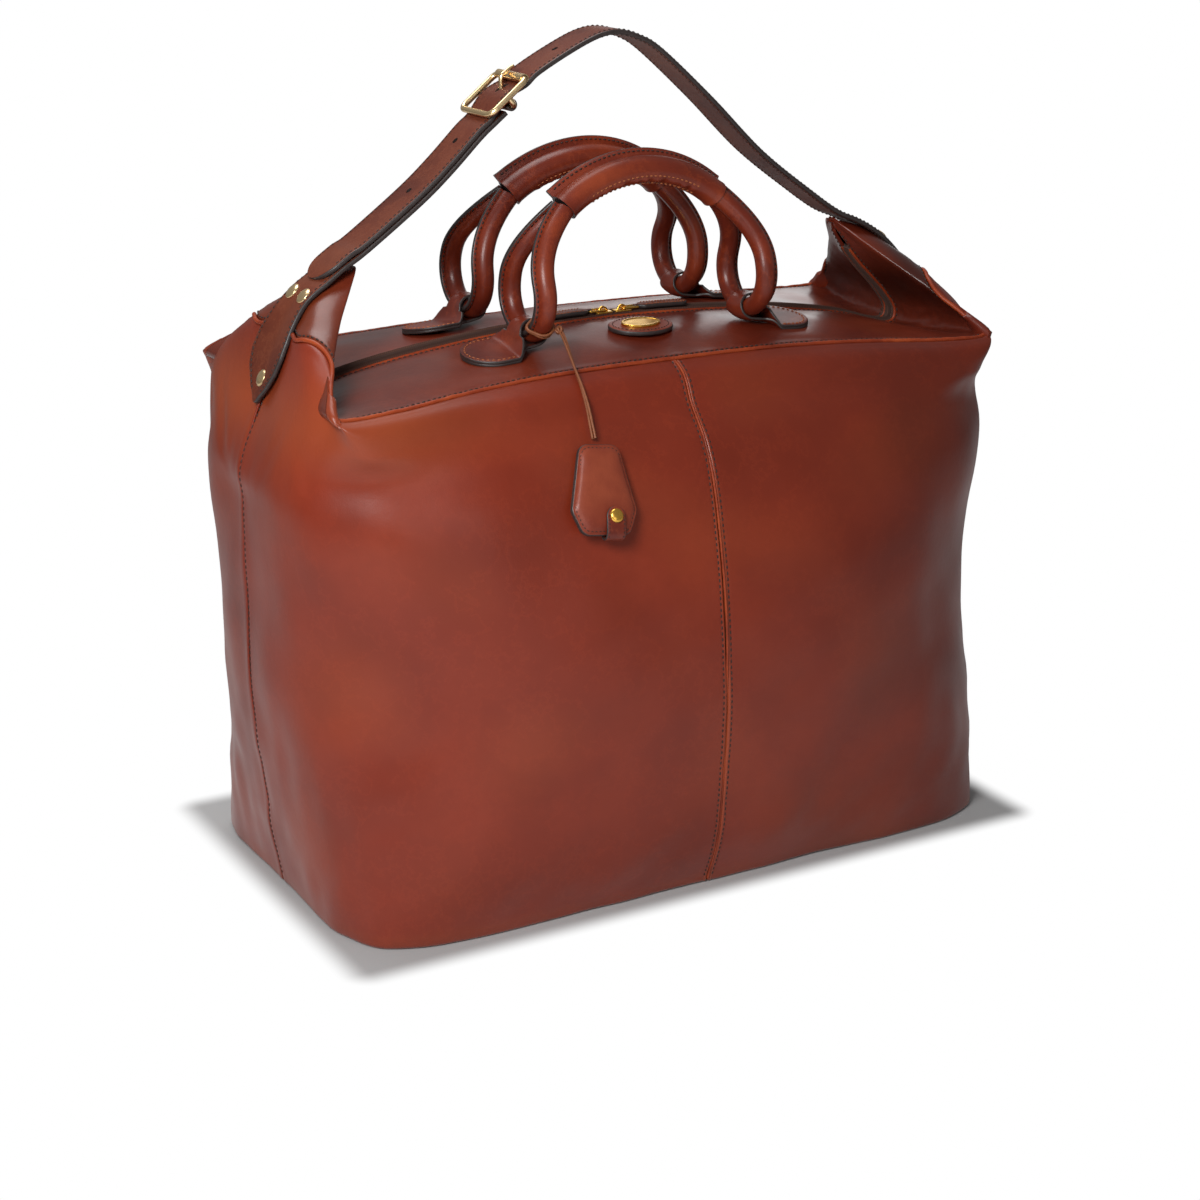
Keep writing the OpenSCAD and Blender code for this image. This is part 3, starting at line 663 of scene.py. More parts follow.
def wallRelief(s, k, p):
    u = stationOf(s)
    top = (k - seamRow(s)) * rowPitch(s)
    d = swell(p, "wallWide") + swell(p, "wallSmall")
    d += swell(p, "foot") * np.clip(1 - np.abs(k - 8.1) / 1.3, 0, 1)  # settles in ripples at the foot
    d *= np.clip(top / 25, 0.15, 1)
    d -= grooves(p)
    d += -1.5 * bell(top, 1.3) + 0.5 * bell(top - 4, 2.5)
    front = np.where(u < 0.5, np.abs(p[..., 0]), 99)
    end = np.where(u > 7.5, np.abs(p[..., 1]), 99)
    d += -1.6 * bell(front, 0.9) + 0.35 * bell(front - 1.9, 1.0) - 0.35 * bell(front - 3.1, 0.7)
    d += -1.5 * bell(end, 0.9) + 0.3 * bell(end - 4, 3)
    return d


def topRelief(s, k, p):
    u = stationOf(s)
    below = (seamRow(s) - k) * rowPitch(s)
    edge = k * zipPitch(s)
    d = swell(p, "top")
    valley = bell(u - 4.3, 1.0) * np.clip(1.8 - k, 0, 1) ** 0.5
    run = 2 * np.pi * u * pleatsToStation
    d += valley * (0.32 * np.cos(run + 1.5 * waves(p, 30, 22)) + swell(p, "pleats"))
    d += bell(u - 6.2, 1.0) * swell(p, "ears")
    calm = np.clip(np.minimum(below, edge) / 12, 0, 1)
    d *= calm
    return d - 1.3 * bell(below, 1.5) + 0.4 * bell(below - 4, 2.5) - 0.9 * bell(edge, 1.2)


def quarterColumns(quadrant):
    side = np.concatenate([0.003 + 0.11 * np.linspace(0, 1, 12) ** 1.3,
                           np.linspace(0.15, 8.0, bag["columns"])])
    end = 9 - (0.02 + 0.85 * np.linspace(0, 1, 14) ** 1.3)[::-1]
    u = np.concatenate([side, end])
    return quadrant * 9 + (u if quadrant % 2 == 0 else (9 - u)[::-1])


def panel(name, columns, rowsOf, reliefOf, look, slot, node, foot=False, behind=None):
    s = columns[:, None]
    k = rowsOf(columns)
    s, k = np.broadcast_arrays(s, k)
    base = skin(s, k)
    n = outward(s, k)
    d = reliefOf(s, k, base)
    outer, inner = base + n * d[..., None], base - n * (behind or bag["leather"])
    if foot:  # the wall rolls under on to the base
        turn = np.radians(np.array([25, 50, 75, 88]))
        inward = -n[:, -1:] * (1, 1, 0)
        roll = outer[:, -1:] + bag["footRoll"] * ((1 - np.cos(turn))[:, None] * unit(inward)
                                                  + np.sin(turn)[:, None] * (0, 0, -0.97))
        outer = np.concatenate([outer, roll], axis=1)
        inner = np.concatenate([inner, inner[:, -1:] + (roll - outer[:, -5:-4]) * (0.2, 0.2, 0.6)], axis=1)
    ns, nk = outer.shape[:2]
    grid = np.arange(ns * nk).reshape(ns, nk)
    a, b, c, e = grid[:-1, :-1], grid[1:, :-1], grid[1:, 1:], grid[:-1, 1:]
    outside = np.stack([a, b, c, e], -1).reshape(-1, 4)
    inside = np.stack([a, e, c, b], -1).reshape(-1, 4) + ns * nk
    rim = np.concatenate([grid[0, ::-1], grid[1:, 0], grid[-1, 1:], grid[::-1, -1][1:]])
    rimNext = np.roll(rim, -1)
    walls = np.stack([rim, rim + ns * nk, rimNext + ns * nk, rimNext], -1)
    faces = np.concatenate([outside, inside, walls]).tolist()
    points = np.concatenate([outer.reshape(-1, 3), inner.reshape(-1, 3)])
    return newPiece(name, points, faces, [look], "bag", slot=slot, nodes=[node], angle=80)


def tint(piece, highlightAndWearOf, shadeAndToneOf):  # how pale (wear and painted highlight) and how dark (painted shade and random tone) each point of a piece is
    co = np.array([v.co for v in piece.data.vertices]) / mm
    # the attribute named deep carries the painted shade
    for name, values in (("worn", highlightAndWearOf(co)), ("deep", shadeAndToneOf(co))):
        attribute = piece.data.attributes.new(name, "FLOAT", "POINT")
        attribute.data.foreach_set("value", np.clip(values, 0, 1).astype(np.float32))


def wallRowsOf(columns):
    start = seamRow(columns) + 0.02
    share = np.concatenate([np.linspace(0, 0.06, 12), np.linspace(0.07, 1, bag["rows"] - 12)])
    return start[:, None] + (baseRow - start[:, None]) * share


def topRowsOf(columns):
    end = seamRow(columns)
    share = np.concatenate([np.linspace(0, 0.1, 8), np.linspace(0.12, 0.88, 34), np.linspace(0.9, 1, 9)])
    return end[:, None] * share


def makeShell():
    for quadrant, side, hand in ((3, "front", "Left"), (0, "front", "Right"), (2, "back", "Left"),
                                 (1, "back", "Right")):
        piece = panel(f"{side}{hand}Wall", quarterColumns(quadrant), wallRowsOf, wallRelief, "wallLeather",
                      "wall_leather", f"{side}_{hand.lower()}_panel", foot=True)
        tint(piece, wallWearAndHighlight, wallShadeAndTone)
    for q0, name, node in ((-1, "frontTop", "top_front_panel"), (1, "backTop", "top_back_panel")):
        columns = np.concatenate([quarterColumns(q0), quarterColumns(q0 + 1)])
        piece = panel(name, columns, topRowsOf, topRelief, "topLeather", "top_leather", node)
        tint(piece, topToneAndHighlight, topPaintedShade)


# paler: a painted highlight on the left shoulder, lighter along the middle seams and at the foot, and random
# tone
def wallWearAndHighlight(co):
    x, y, z = np.abs(co[:, 0]), np.abs(co[:, 1]), co[:, 2]
    # painted highlight: the shoulder, kept to the left end only
    shoulder = bell(z - 335, 26) * np.clip((x - 120) / 90, 0, 1)
    seam = bell(x, 2.2) * (y > 60)
    foot = bell(z - 4, 6) * 0.3
    return 0.75 * shoulder * (co[:, 0] < 120) + 0.8 * seam + foot + 0.1 * waves(co, 90, 31)


# darker: along the end seams, painted shade at the foot and over the right of the front wall, and random tone
def wallShadeAndTone(co):
    x, y, z = np.abs(co[:, 0]), np.abs(co[:, 1]), co[:, 2]
    # painted shade: the front wall darker towards its right
    right = 0.38 * np.clip((co[:, 0] - 10) / 160, 0, 1) * (co[:, 1] < 0)
    return 0.7 * bell(y, 0.9) * (x > 200) + 0.25 * bell(z, 8) + right + 0.06 * waves(co, 60, 33)


# paler: a painted highlight on the left ear, and random tone
def topToneAndHighlight(co):
    x = np.abs(co[:, 0])
    ear = np.clip((x - 185) / 40, 0, 1) * np.clip((co[:, 2] - 350) / 30, 0, 1)
    return 0.35 * ear * (co[:, 0] < 0) + 0.1 * waves(co, 60, 32)


# painted shade: darker in the valley before each ear and inside the ears, most on the right
def topPaintedShade(co):
    x = np.abs(co[:, 0])
    valley = 0.45 * bell(x - 236, 22) * np.clip((352 - co[:, 2]) / 12, 0, 1)
    ear = np.clip((x - 196) / 24, 0, 1) * np.clip((co[:, 2] - 340) / 25, 0, 1)
    return valley + np.where(co[:, 0] > 0, 0.95, 0.35) * ear


makeShell()
print("shell made")


# sewn seams of the shell: raised ridges, piping and stitches

seams = {
    "pipingRadius": 1.5,
    "ridgeRadius": 0.9,
    "stitchFromSeam": 3.1,
    "stitchFromEndSeam": 2.6,
    "stitchFromPiping": 3.0,
    "stitchFromZip": 3.4,
}


def surface(s, k, lift=0.0):
    s, k = np.broadcast_arrays(np.asarray(s, float), np.asarray(k, float))
    p, n = skin(s, k), outward(s, k)
    d = np.where(k > seamRow(s), wallRelief(s, k, p), topRelief(s, k, p))
    return p + n * (d + lift)[..., None], n


def makeSeams():
    for name, q0, node in (("frontPiping", -9, "front_piping"), ("backPiping", 9, "back_piping")):
        s = np.linspace(q0 + 0.03, q0 + 17.97, 420)
        out = 0.35 + 0.12 * waves(skin(s, 2), 9, 41)[:, None]
        line = skin(s, seamRow(s) + 0.01) + outward(s, seamRow(s)) * out
        tubePiece(name, line, seams["pipingRadius"], 10, "weltLeather", "bag", slot="piping_leather",
                  nodes=[node])
    k = np.linspace(0, 1, 150)
    for name, s0, sunk, look, hint in (("frontSeamRidge", 0.0, 0.45, "welt", (1, 0, 0)),
                                       ("backSeamRidge", 18.0, 0.45, "welt", (1, 0, 0)),
                                       ("leftEndRidge", 27.0, 0.9, "wall", (0, 1, 0)),
                                       ("rightEndRidge", 9.0, 0.9, "wall", (0, 1, 0))):
        top = seamRow(s0)
        rows = top + 0.03 + (8.97 - top) * k if look == "welt" else 3.5 + 5.45 * k
        line = skin(np.full(150, s0), rows) - sunk * outward(np.full(150, s0), rows)
        tubePiece(name, line, seams["ridgeRadius"], 8, look + "Leather", "bag", hint,
                  slot="piping_leather" if look == "welt" else "wall_leather")


def sewShell():
    rows = []
    k = np.linspace(0, 1, 120)
    for s0, way in ((0.0, 1), (0.0, -1), (18.0, 1), (18.0, -1)):
        depth = seamRow(s0) + 0.06 + (8.9 - seamRow(s0)) * k
        rows.append(surface(s0 + way * seams["stitchFromSeam"] / columnPitch(s0, depth, 0.05), depth))
    for s0, way in ((27.0, 1), (9.0, -1)):
        depth = 3.6 + 5.3 * k
        rows.append(surface(s0 + way * seams["stitchFromEndSeam"] / columnPitch(s0, depth, 0.3), depth))
    sew("wallStitches", rows, "darkThread", "bag", slot="wall_leather")
    rows = []
    for q0 in (-9, 9):
        s = np.linspace(q0 + 0.15, q0 + 17.85, 300)
        rows.append(surface(s, seamRow(s) - seams["stitchFromPiping"] / rowPitch(s)))
    for side in (-1, 1):
        s = np.linspace(-8.3, 8.3, 260) + (0 if side < 0 else 18)
        rows.append(surface(s, seams["stitchFromZip"] / zipPitch(s)))
    sew("topStitches", rows, "darkThread", "bag", slot="top_leather")


makeSeams()
sewShell()


# zip: rolled leather edges, woven tapes, coil teeth

zipWay = {"end": 7.5, "toothPitch": 1.45, "toothRadius": 0.62, "toothHalf": 2.1, "toothApart": 0.55,
          "ridgeRadius": 1.25, "coilHalf": 1.6, "tapeThick": 0.9, "tapeDepth": 1.15}
bodyOf = {node: body for body, nodes in frame["record"]["behaviour"]["bodies"].items() for node in nodes}


def zipPoint(s):
    s = np.asarray(s, float)
    p = skin(np.abs(s), 0.0)
    return np.stack([np.sign(s) * p[..., 0], 0 * s, p[..., 2]], -1)


def makeZip():
    s = np.linspace(-zipWay["end"], zipWay["end"], 300)
    middle = zipPoint(s)
    t = tangents(middle)
    up = np.stack([-t[:, 2], 0 * s, t[:, 0]], -1)
    edge = skin(np.abs(s), 0.0)[:, 1]
    for side, front in ((-1, "front"), (1, "back")):
        rim = middle + np.array([0, side, 0]) * (edge[:, None] + 0.1) - 0.35 * up
        tubePiece(front + "ZipRidge", rim, zipWay["ridgeRadius"], 8, "weltLeather", "bag", (0, 1, 0),
                  slot="piping_leather")
        inner, depth = zipWay["coilHalf"], zipWay["tapeDepth"]
        width = (edge - inner) / 2
        line = middle + np.array([0, side, 0]) * (inner + width)[:, None] - depth * up
        tape = Strip(line, (0, 1, 0), width, zipWay["tapeThick"])
        tape.piece(front + "ZipTape", ["zipTape", "zipTape"], "bag", slot="zip_tape",
                   nodes=[front + "_zip_tape"])
    runs = runsOf(middle)
    count = int(runs[-1] / zipWay["toothPitch"])
    at = (np.arange(count) + 0.5) * runs[-1] / count
    spots, ups, ahead = (pick(at, runs, values) for values in (middle, up, t))
    radius, apart = zipWay["toothRadius"], zipWay["toothApart"]
    for index, (side, front) in enumerate(((-1, "front"), (1, "back"))):
        points, faces = [], []
        for p, a, c in zip(spots[index::2], ahead[index::2], ups[index::2]):
            start = len(points) * len(stitchPoints)
            points.append(p + np.array([0, side * apart, 0]) - 0.55 * c
                          + stitchPoints[:, :1] * np.array([0, zipWay["toothHalf"], 0])
                          + stitchPoints[:, 1:2] * a * radius * 1.3 + stitchPoints[:, 2:] * c * radius)
            faces += [tuple(i + start for i in f) for f in stitchFaces]
        newPiece(front + "ZipTeeth", np.concatenate(points), faces, ["zipCoil"], "bag", slot="zip_coil",
                 nodes=[front + "_zip_coil"], angle=60)


class Strip:  # a flat strip of leather along a line, with painted edges
    def __init__(self, line, side, half, thick, crown=0.0, warp=None):
        self.line = np.asarray(line, float)
        t = tangents(self.line)
        self.up = unit(np.cross(t, np.broadcast_to(np.asarray(side, float), self.line.shape)))
        self.side = np.cross(self.up, t)
        self.half = np.broadcast_to(np.asarray(half, float), (len(t),))
        self.thick = np.broadcast_to(np.asarray(thick, float), (len(t),))
        self.crown, self.warp = crown, warp

    def place(self, v, h):  # points v across and h above the middle of the leather
        points = self.line[:, None] + v[..., None] * self.side[:, None] + h[..., None] * self.up[:, None]
        return points if self.warp is None else self.warp(points, v, h)

    def rings(self, across):
        span = np.linspace(-1, 1, across)
        low = np.minimum(self.thick * 0.3, self.half * 0.7)[:, None]
        half, top = self.half[:, None], self.thick[:, None] / 2
        bow = self.crown * (1 - span ** 2)
        corner = np.array([0.3, 0, 0, 0.3])
        level = np.array([-0.3, -1, 1, 0.3])
        sign = np.array([1, 1, -1, -1])
        edgeV, edgeH = half - low * corner, top * sign + low * level
        v = np.concatenate([span * (half - low), edgeV, span[::-1] * (half - low), -edgeV[:, ::-1]], axis=1)
        h = np.concatenate([top + bow, edgeH, -top + bow, edgeH[:, ::-1]], axis=1)
        return v, h

    def piece(self, name, looks, body, across=9, blend=None, cut=None, **words):
        v, h = self.rings(across)
        points = self.place(v, h)
        count = v.shape[1]
        faces = ringFaces(len(points), count)
        j = np.arange(count)
        painted = ((j >= across - 1) & (j < across + 4)) | (j >= 2 * across + 3)
        faceLooks = np.concatenate([np.tile(painted.astype(int), len(points) - 1), [1, 1]])
        piece = newPiece(name, points.reshape(-1, 3), faces, looks, None, faceLooks, angle=50, **words)
        if cut:
            punch(piece, cut)
        if blend:
            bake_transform(piece)
        else:
            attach(piece, body)
        return piece

    def trace(self, across, face=1):  # the line on its top or lower face, and its normals
        v = np.broadcast_to(np.asarray(across, float), self.half.shape)[:, None]
        h = face * self.thick[:, None] / 2 + self.crown * (1 - (v / np.maximum(self.half[:, None], 1)) ** 2)
        low, high = self.place(v, h)[:, 0], self.place(v, h + face * 0.5)[:, 0]
        return low, unit(high - low)

    def row(self, inset, way, first=0, last=None, face=1):  # a stitch line beside one edge
        line, normals = self.trace(way * (self.half - inset), face)
        return line[first:last], normals[first:last]


def punch(piece, cutters):  # holes through the strap: place, slope in degrees, stretch and depth
    for x, z, slope, stretch, depth in cutters:
        bpy.ops.mesh.primitive_cylinder_add(vertices=24, radius=strap["holeRadius"] * mm, depth=depth * mm,
                                            location=(x * mm, 0, z * mm), scale=(stretch, 1, 1),
                                            rotation=(0, -math.radians(slope), 0))
        cutter = bpy.context.object
        cutter.data.materials.append(finishes["edgePaint"])
        bpy.ops.object.select_all(action="DESELECT")
        bpy.context.view_layer.objects.active = piece
        piece.select_set(True)
        hole = piece.modifiers.new("hole", "BOOLEAN")
        hole.object, hole.operation, hole.solver = cutter, "DIFFERENCE", "EXACT"
        hole.material_mode = "TRANSFER"
        bpy.ops.object.modifier_apply(modifier="hole")
        bpy.data.objects.remove(cutter)


def roundedEnds(line, step, startRound=0.0, endRound=0.0, fine=12):  # finer steps where an end is rounded
    line = np.asarray(line, float)
    runs = runsOf(line[:, :3])
    total = runs[-1]
    turn = 1 - np.cos(np.linspace(0, np.pi / 2, fine))
    start = startRound * turn[1:] if startRound else np.array([])
    end = total - (endRound * turn[1:])[::-1] if endRound else np.array([])
    count = max(int((total - startRound - endRound) / step), 2)
    middle = np.linspace(startRound, total - endRound, count + 1)[(1 if startRound else 0):]
    at = np.concatenate([start, middle[:-1] if endRound else middle, end])
    at = np.concatenate([[0.05] if startRound else [], at, [total - 0.05] if endRound else []])
    at = np.unique(np.round(at, 4))
    return pick(at, runs, line), at, total


def roundHalf(at, total, half, startRound, endRound):  # half width with round ends
    half = np.broadcast_to(np.asarray(half, float), at.shape).copy()
    if startRound:
        half *= np.sqrt(np.clip(1 - (1 - np.clip(at / startRound, 0, 1)) ** 2, 0.0004, 1))
    if endRound:
        half *= np.sqrt(np.clip(1 - (1 - np.clip((total - at) / endRound, 0, 1)) ** 2, 0.0004, 1))
    return half


makeZip()
print("seams and zip made")


# zip sliders and their leather pulls

pull = {"bagHeight": 366, "arc": 1144, "lift": 3.6, "link": 11, "length": 40, "half": 5.5, "thick": 2.8,
        "stitch": (2.3, 1.7, 0.28), "plate": (12.4, 9.6, 1.9), "plateHeight": 1.65, "bail": (3.3, 0.8),
        "bailHeight": 2.2, "sliders": {"left": (-1, -1), "right": (14, 1)}}


def onZip(points, x):  # from a slider's own place to the bag
    a = math.asin(x / pull["arc"])
    points = np.asarray(points, float)
    ahead, up = turned(points[..., 0], points[..., 2], -math.degrees(a))
    place = (x, 0, pull["bagHeight"] - pull["arc"] * (1 - math.cos(a)))
    return np.stack([ahead, points[..., 1], up], -1) + place


def moveMesh(piece, place):  # puts every vertex where place(points in millimetres) says
    co = np.array([piece.matrix_world @ v.co for v in piece.data.vertices]) / mm
    piece.matrix_world = Matrix.Identity(4)
    piece.data.vertices.foreach_set("co", (place(co) * mm).astype(np.float32).ravel())
    piece.data.update()


def selectFaces(piece, test):  # edit mode, face select, by a test on centre and normal
    bpy.ops.object.mode_set(mode="EDIT")
    bpy.ops.mesh.select_mode(type="FACE")
    bpy.ops.mesh.select_all(action="DESELECT")
    bpy.ops.object.mode_set(mode="OBJECT")
    for face in piece.data.polygons:
        face.select = bool(test(face.center / mm, face.normal))
    bpy.ops.object.mode_set(mode="EDIT")


def joined(pieces, name):
    bpy.ops.object.select_all(action="DESELECT")
    for piece in pieces:
        piece.select_set(True)
    bpy.context.view_layer.objects.active = pieces[0]
    bpy.ops.object.join()
    pieces[0].name = name
    return pieces[0]


def makeSlider(name, x, node):
    bpy.ops.mesh.primitive_cube_add(size=mm, location=(0, 0, pull["plateHeight"] * mm), scale=pull["plate"])
    plate = bpy.context.object
    bpy.ops.object.transform_apply(location=True, rotation=False, scale=True)
    selectFaces(plate, lambda c, n: abs(n.x) > 0.9)
    bpy.ops.mesh.select_mode(type="EDGE")
    bpy.ops.transform.resize(value=(1, 0.72, 1))
    bpy.ops.mesh.select_all(action="SELECT")
    bpy.ops.mesh.bevel(offset=0.55 * mm, segments=3)
    bpy.ops.object.mode_set(mode="OBJECT")
    radius, wire = pull["bail"]
    bpy.ops.mesh.primitive_torus_add(major_radius=radius * mm, minor_radius=wire * mm, major_segments=28,
                                     minor_segments=10, location=(0, 0, pull["bailHeight"] * mm),
                                     rotation=(math.pi / 2, 0, 0))
    bail = bpy.context.object
    slider = joined([plate, bail], name)
    moveMesh(slider, lambda co: onZip(co, x))
    slider.data.materials.append(finishes["yellowBrass"])
    settle(slider, bodyOf[node], [node], outwards=False)


def makePullTab(name, x, way, node):
    p = pull
    line = np.stack([np.linspace(p["link"] - 1.9, p["link"] + p["length"], 60), np.zeros(60),
                     p["lift"] + 0.25 * np.sin(np.linspace(0, 5, 60))], -1)
    line, at, total = roundedEnds(line, 1.2, 1.0, p["half"])
    half = np.interp(at, [0, 3.6, 6.2], [2.2, 2.2, p["half"]])
    half = roundHalf(at, total, half, 1.0, p["half"])
    strip = Strip(line, (0, 1, 0), half, p["thick"], 0.25,
                  warp=lambda co, v, h: onZip(co * (way, 1, 1), x))
    strip.piece(name, ["strapLeather", "edgePaint"], bodyOf[node], 7, slot="strap_leather", nodes=[node])
    first, last = np.searchsorted(at, [7, total - 2.4])
    return [strip.row(1.5, side, first, last) for side in (-1, 1)]


def makePulls():
    for side, (x, way) in pull["sliders"].items():
        makeSlider(side + "ZipSlider", x, side + "_slider")
        rows = makePullTab(side + "PullLeather", x, way, side + "_pull_tab")
        sew(side + "PullStitches", rows, "tanThread", bodyOf[side + "_pull_tab"], pull["stitch"],
            "strap_leather")


makePulls()
print("sliders and pulls made")


# handles: two stitched rope rings and a wrapped grip each, held by leather loops

handle = {
    "pivot": 397, "ringX": 83, "frontY": -48, "backY": 40, "lean": 12, "ring": 25, "rope": 6.5,
    "ringHalf": 108, "grip": 9.2, "rise": 74, "drop": 23, "gripHalf": 60, "gripEnd": 39.4,
    "finHeight": 2.8, "finThick": 1.45, "gripFin": 6.3, "gripFinTurn": 35,
    "seamTurn": -0.8, "seamHalf": 0.4, "stitchOnFin": 3.4,
    "wrapThick": 1.6, "flare": (0.25, 1.3, 0.72), "lip": 0.35,
    "ropeStitch": (3.6, 2.5, 0.55), "gripStitch": (3.6, 2.6, 0.6), "seamStitch": (3.4, 2.6, 0.62),
}


def handlePlace(points, back):
    y, z = turned(points[..., 1], points[..., 2], handle["lean"] if back else 0)
    return np.stack([points[..., 0], y + (handle["backY"] if back else handle["frontY"]),
                     z + handle["pivot"]], -1)


def ringLine(side):  # up one leg, round the foot and up the other
    h = handle
    a = np.radians(np.arange(-h["ringHalf"], h["ringHalf"] + 1, 4.0))
    foot = np.stack([np.full(len(a), h["ringX"]), h["ring"] * np.sin(a), -h["ring"] * np.cos(a)], -1)
    y0, z0 = foot[-1, 1], foot[-1, 2]
    corners = [foot[-1], (h["ringX"] + 1.5, y0 - 4.8, z0 + 15), (76, 10.5, 37), (58.5, 3.6, 52.5)]
    t = np.linspace(0, 1, 26)[1:, None]
    leg = ((1 - t) ** 3 * corners[0] + 3 * (1 - t) ** 2 * t * np.array(corners[1])
           + 3 * (1 - t) * t * t * np.array(corners[2]) + t ** 3 * np.array(corners[3]))
    line = np.concatenate([(leg * (1, -1, 1))[::-1], foot, leg])
    for again in range(4):
        line[1:-1] = (line[:-2] + 2 * line[1:-1] + line[2:]) / 4
    return evenLine(line, 1.8) * (side, 1, 1)


def finSection(radius, fin, thick, facing, sides=26):  # round section with a stitched fin
    start = math.asin(thick / radius)
    turn = np.linspace(start, 2 * np.pi - start, sides)
    tip = radius + fin
    ring = np.stack([np.cos(turn) * radius, np.sin(turn) * radius], 1)
    blade = np.array([(tip - 0.7, -thick), (tip - 0.1, -thick * 0.6), (tip - 0.1, thick * 0.6),
                      (tip - 0.7, thick)])
    section = np.concatenate([ring, blade])
    c, s = math.cos(facing), math.sin(facing)
    return section @ np.array([[c, s], [-s, c]])


def rowOnHandle(low, out, back, ends=0):  # a stitch row with its normals, less a few points at the ends
    spots, tips = handlePlace(low, back), handlePlace(low + out, back)
    inner = slice(ends, len(low) - ends)
    return spots[inner], (tips - spots)[inner]


def makeRope(name, side, back, node):
    h = handle
    line = ringLine(side)
    facing = math.pi / 2 if side > 0 else -math.pi / 2
    section = finSection(h["rope"], h["finHeight"], h["finThick"], facing)
    sections = np.broadcast_to(section, (len(line),) + section.shape)
    rings = tubeRings(line, 1.0, 0, (1, 0, 0), sections)
    t = tangents(line)
    u = unit(np.cross((1.0, 0, 0), t))
    v = np.cross(t, u) * side
    count = len(section)
    looks = np.zeros((len(line) - 1, count), int)
    looks[:, count - 4:count - 1] = 1
    faceLooks = np.concatenate([looks.ravel(), [0, 0]])
    points = handlePlace(rings, back)
    newPiece(name, points.reshape(-1, 3), ringFaces(len(line), count), ["handleLeather", "edgePaint"],
             bodyOf[node], faceLooks, "handle_leather", [node] if side < 0 else (), angle=50)
    return [rowOnHandle(line + v * (h["rope"] + 0.9) + u * way * (h["finThick"] - 0.05), u * way, back)
            for way in (-1, 1)]


def gripLine(half, count):
    a = np.radians(np.linspace(-half, half, count))
    radius = (handle["gripHalf"] ** 2 + handle["drop"] ** 2) / (2 * handle["drop"])
    return np.stack([radius * np.sin(a), 0 * a, handle["rise"] - radius + radius * np.cos(a)], -1)


def makeGrip(name, back, node):
    h = handle
    count = 130
    line = gripLine(h["gripEnd"], count)
    facing = math.pi - math.radians(h["gripFinTurn"])
    share = np.abs(np.linspace(-1, 1, count))
    least, more, start = h["flare"]
    flare = least + more * np.clip((share - start) / (1 - start), 0, 1) ** 1.6
    lip = h["lip"] * bell(share - 1, 0.03)
    sections = []
    rough = waves(line + (0, 5, 0), 7, 51 + back, 20)
    for i in range(count):
        section = finSection(h["grip"] + lip[i], h["gripFin"], h["wrapThick"], facing, 40)
        turn = np.arctan2(section[:, 1], section[:, 0]) - h["seamTurn"]
        under = np.abs(np.arctan2(np.sin(turn), np.cos(turn)))  # zero at the seam
        middle = np.clip((0.8 - share[i]) / 0.2, 0, 1)
        puff = middle * ((0.55 + 0.35 * rough[i]) * bell(under, 0.22) - 0.35 * bell(under - 0.42, 0.12))
        size = np.linalg.norm(section, axis=1, keepdims=True)
        section = section * (1 + (puff[:, None] / size))
        section[:40, 1] *= 1 + flare[i] / h["grip"]
        sections.append(section)
    rings = tubeRings(line, 1.0, 0, (0, 1, 0), np.array(sections))
    total = rings.shape[1]
    looks = np.zeros((count - 1, total), int)
    looks[:, total - 4:total - 1] = 1
    points = handlePlace(rings, back)
    newPiece(name, points.reshape(-1, 3), ringFaces(count, total), ["handleLeather", "edgePaint"],
             bodyOf[node], np.concatenate([looks.ravel(), [1, 1]]), "handle_leather", [node], angle=50)
    t = tangents(line)
    u = unit(np.cross((0.0, 1.0, 0.0), t))
    v = np.cross(t, u)
    dark, tan = [], []
    out = math.cos(facing) * u + math.sin(facing) * v
    flat = -math.sin(facing) * u + math.cos(facing) * v
    for way in (-1, 1):
        low = line + out * (h["grip"] + h["stitchOnFin"]) + flat * way * h["wrapThick"]
        dark.append(rowOnHandle(low, flat * way, back, 3))
        angle = h["seamTurn"] + way * h["seamHalf"]
        ray = math.cos(angle) * u + math.sin(angle) * v
        tan.append(rowOnHandle(line + ray * (h["grip"] - 0.15), ray, back, 18))
    return dark, tan


def makeHandles():
    for back, side in ((False, "front"), (True, "back")):
        rows = []
        for way, hand in ((-1, "Left"), (1, "Right")):
            rows += makeRope(f"{side}{hand}Rope", way, back, side + "_handle_rope")
        body = bodyOf[side + "_handle_rope"]
        sew(side + "RopeStitches", rows, "darkThread", body, handle["ropeStitch"], "handle_leather")
        dark, tan = makeGrip(side + "Grip", back, side + "_handle_grip")
        sew(side + "GripStitches", dark, "darkThread", body, handle["gripStitch"], "handle_leather")
        sew(side + "GripSeamStitches", tan, "tanThread", body, handle["seamStitch"], "handle_leather")


makeHandles()

loop = {
    "length": 48, "half": 21, "thick": 1.75, "band": 9.6, "tiltX": 8, "tiltY": 4.4, "inset": 2.8,
    "base": -32.45, "frontLift": -0.95, "backLift": -0.05, "stitch": (3.4, 2.5, 0.5),
    "around": [(14.5, -32.6), (12.2, -29.6), (11.2, -25.6), (10, -21.6), (7.2, -18.4), (3.6, -16.8),
               (0, -16.6), (-4.4, -17.9), (-7.5, -21.2), (-8.3, -25.2), (-7, -29.4), (-3.6, -32.4),
               (0.6, -33.6)],
}


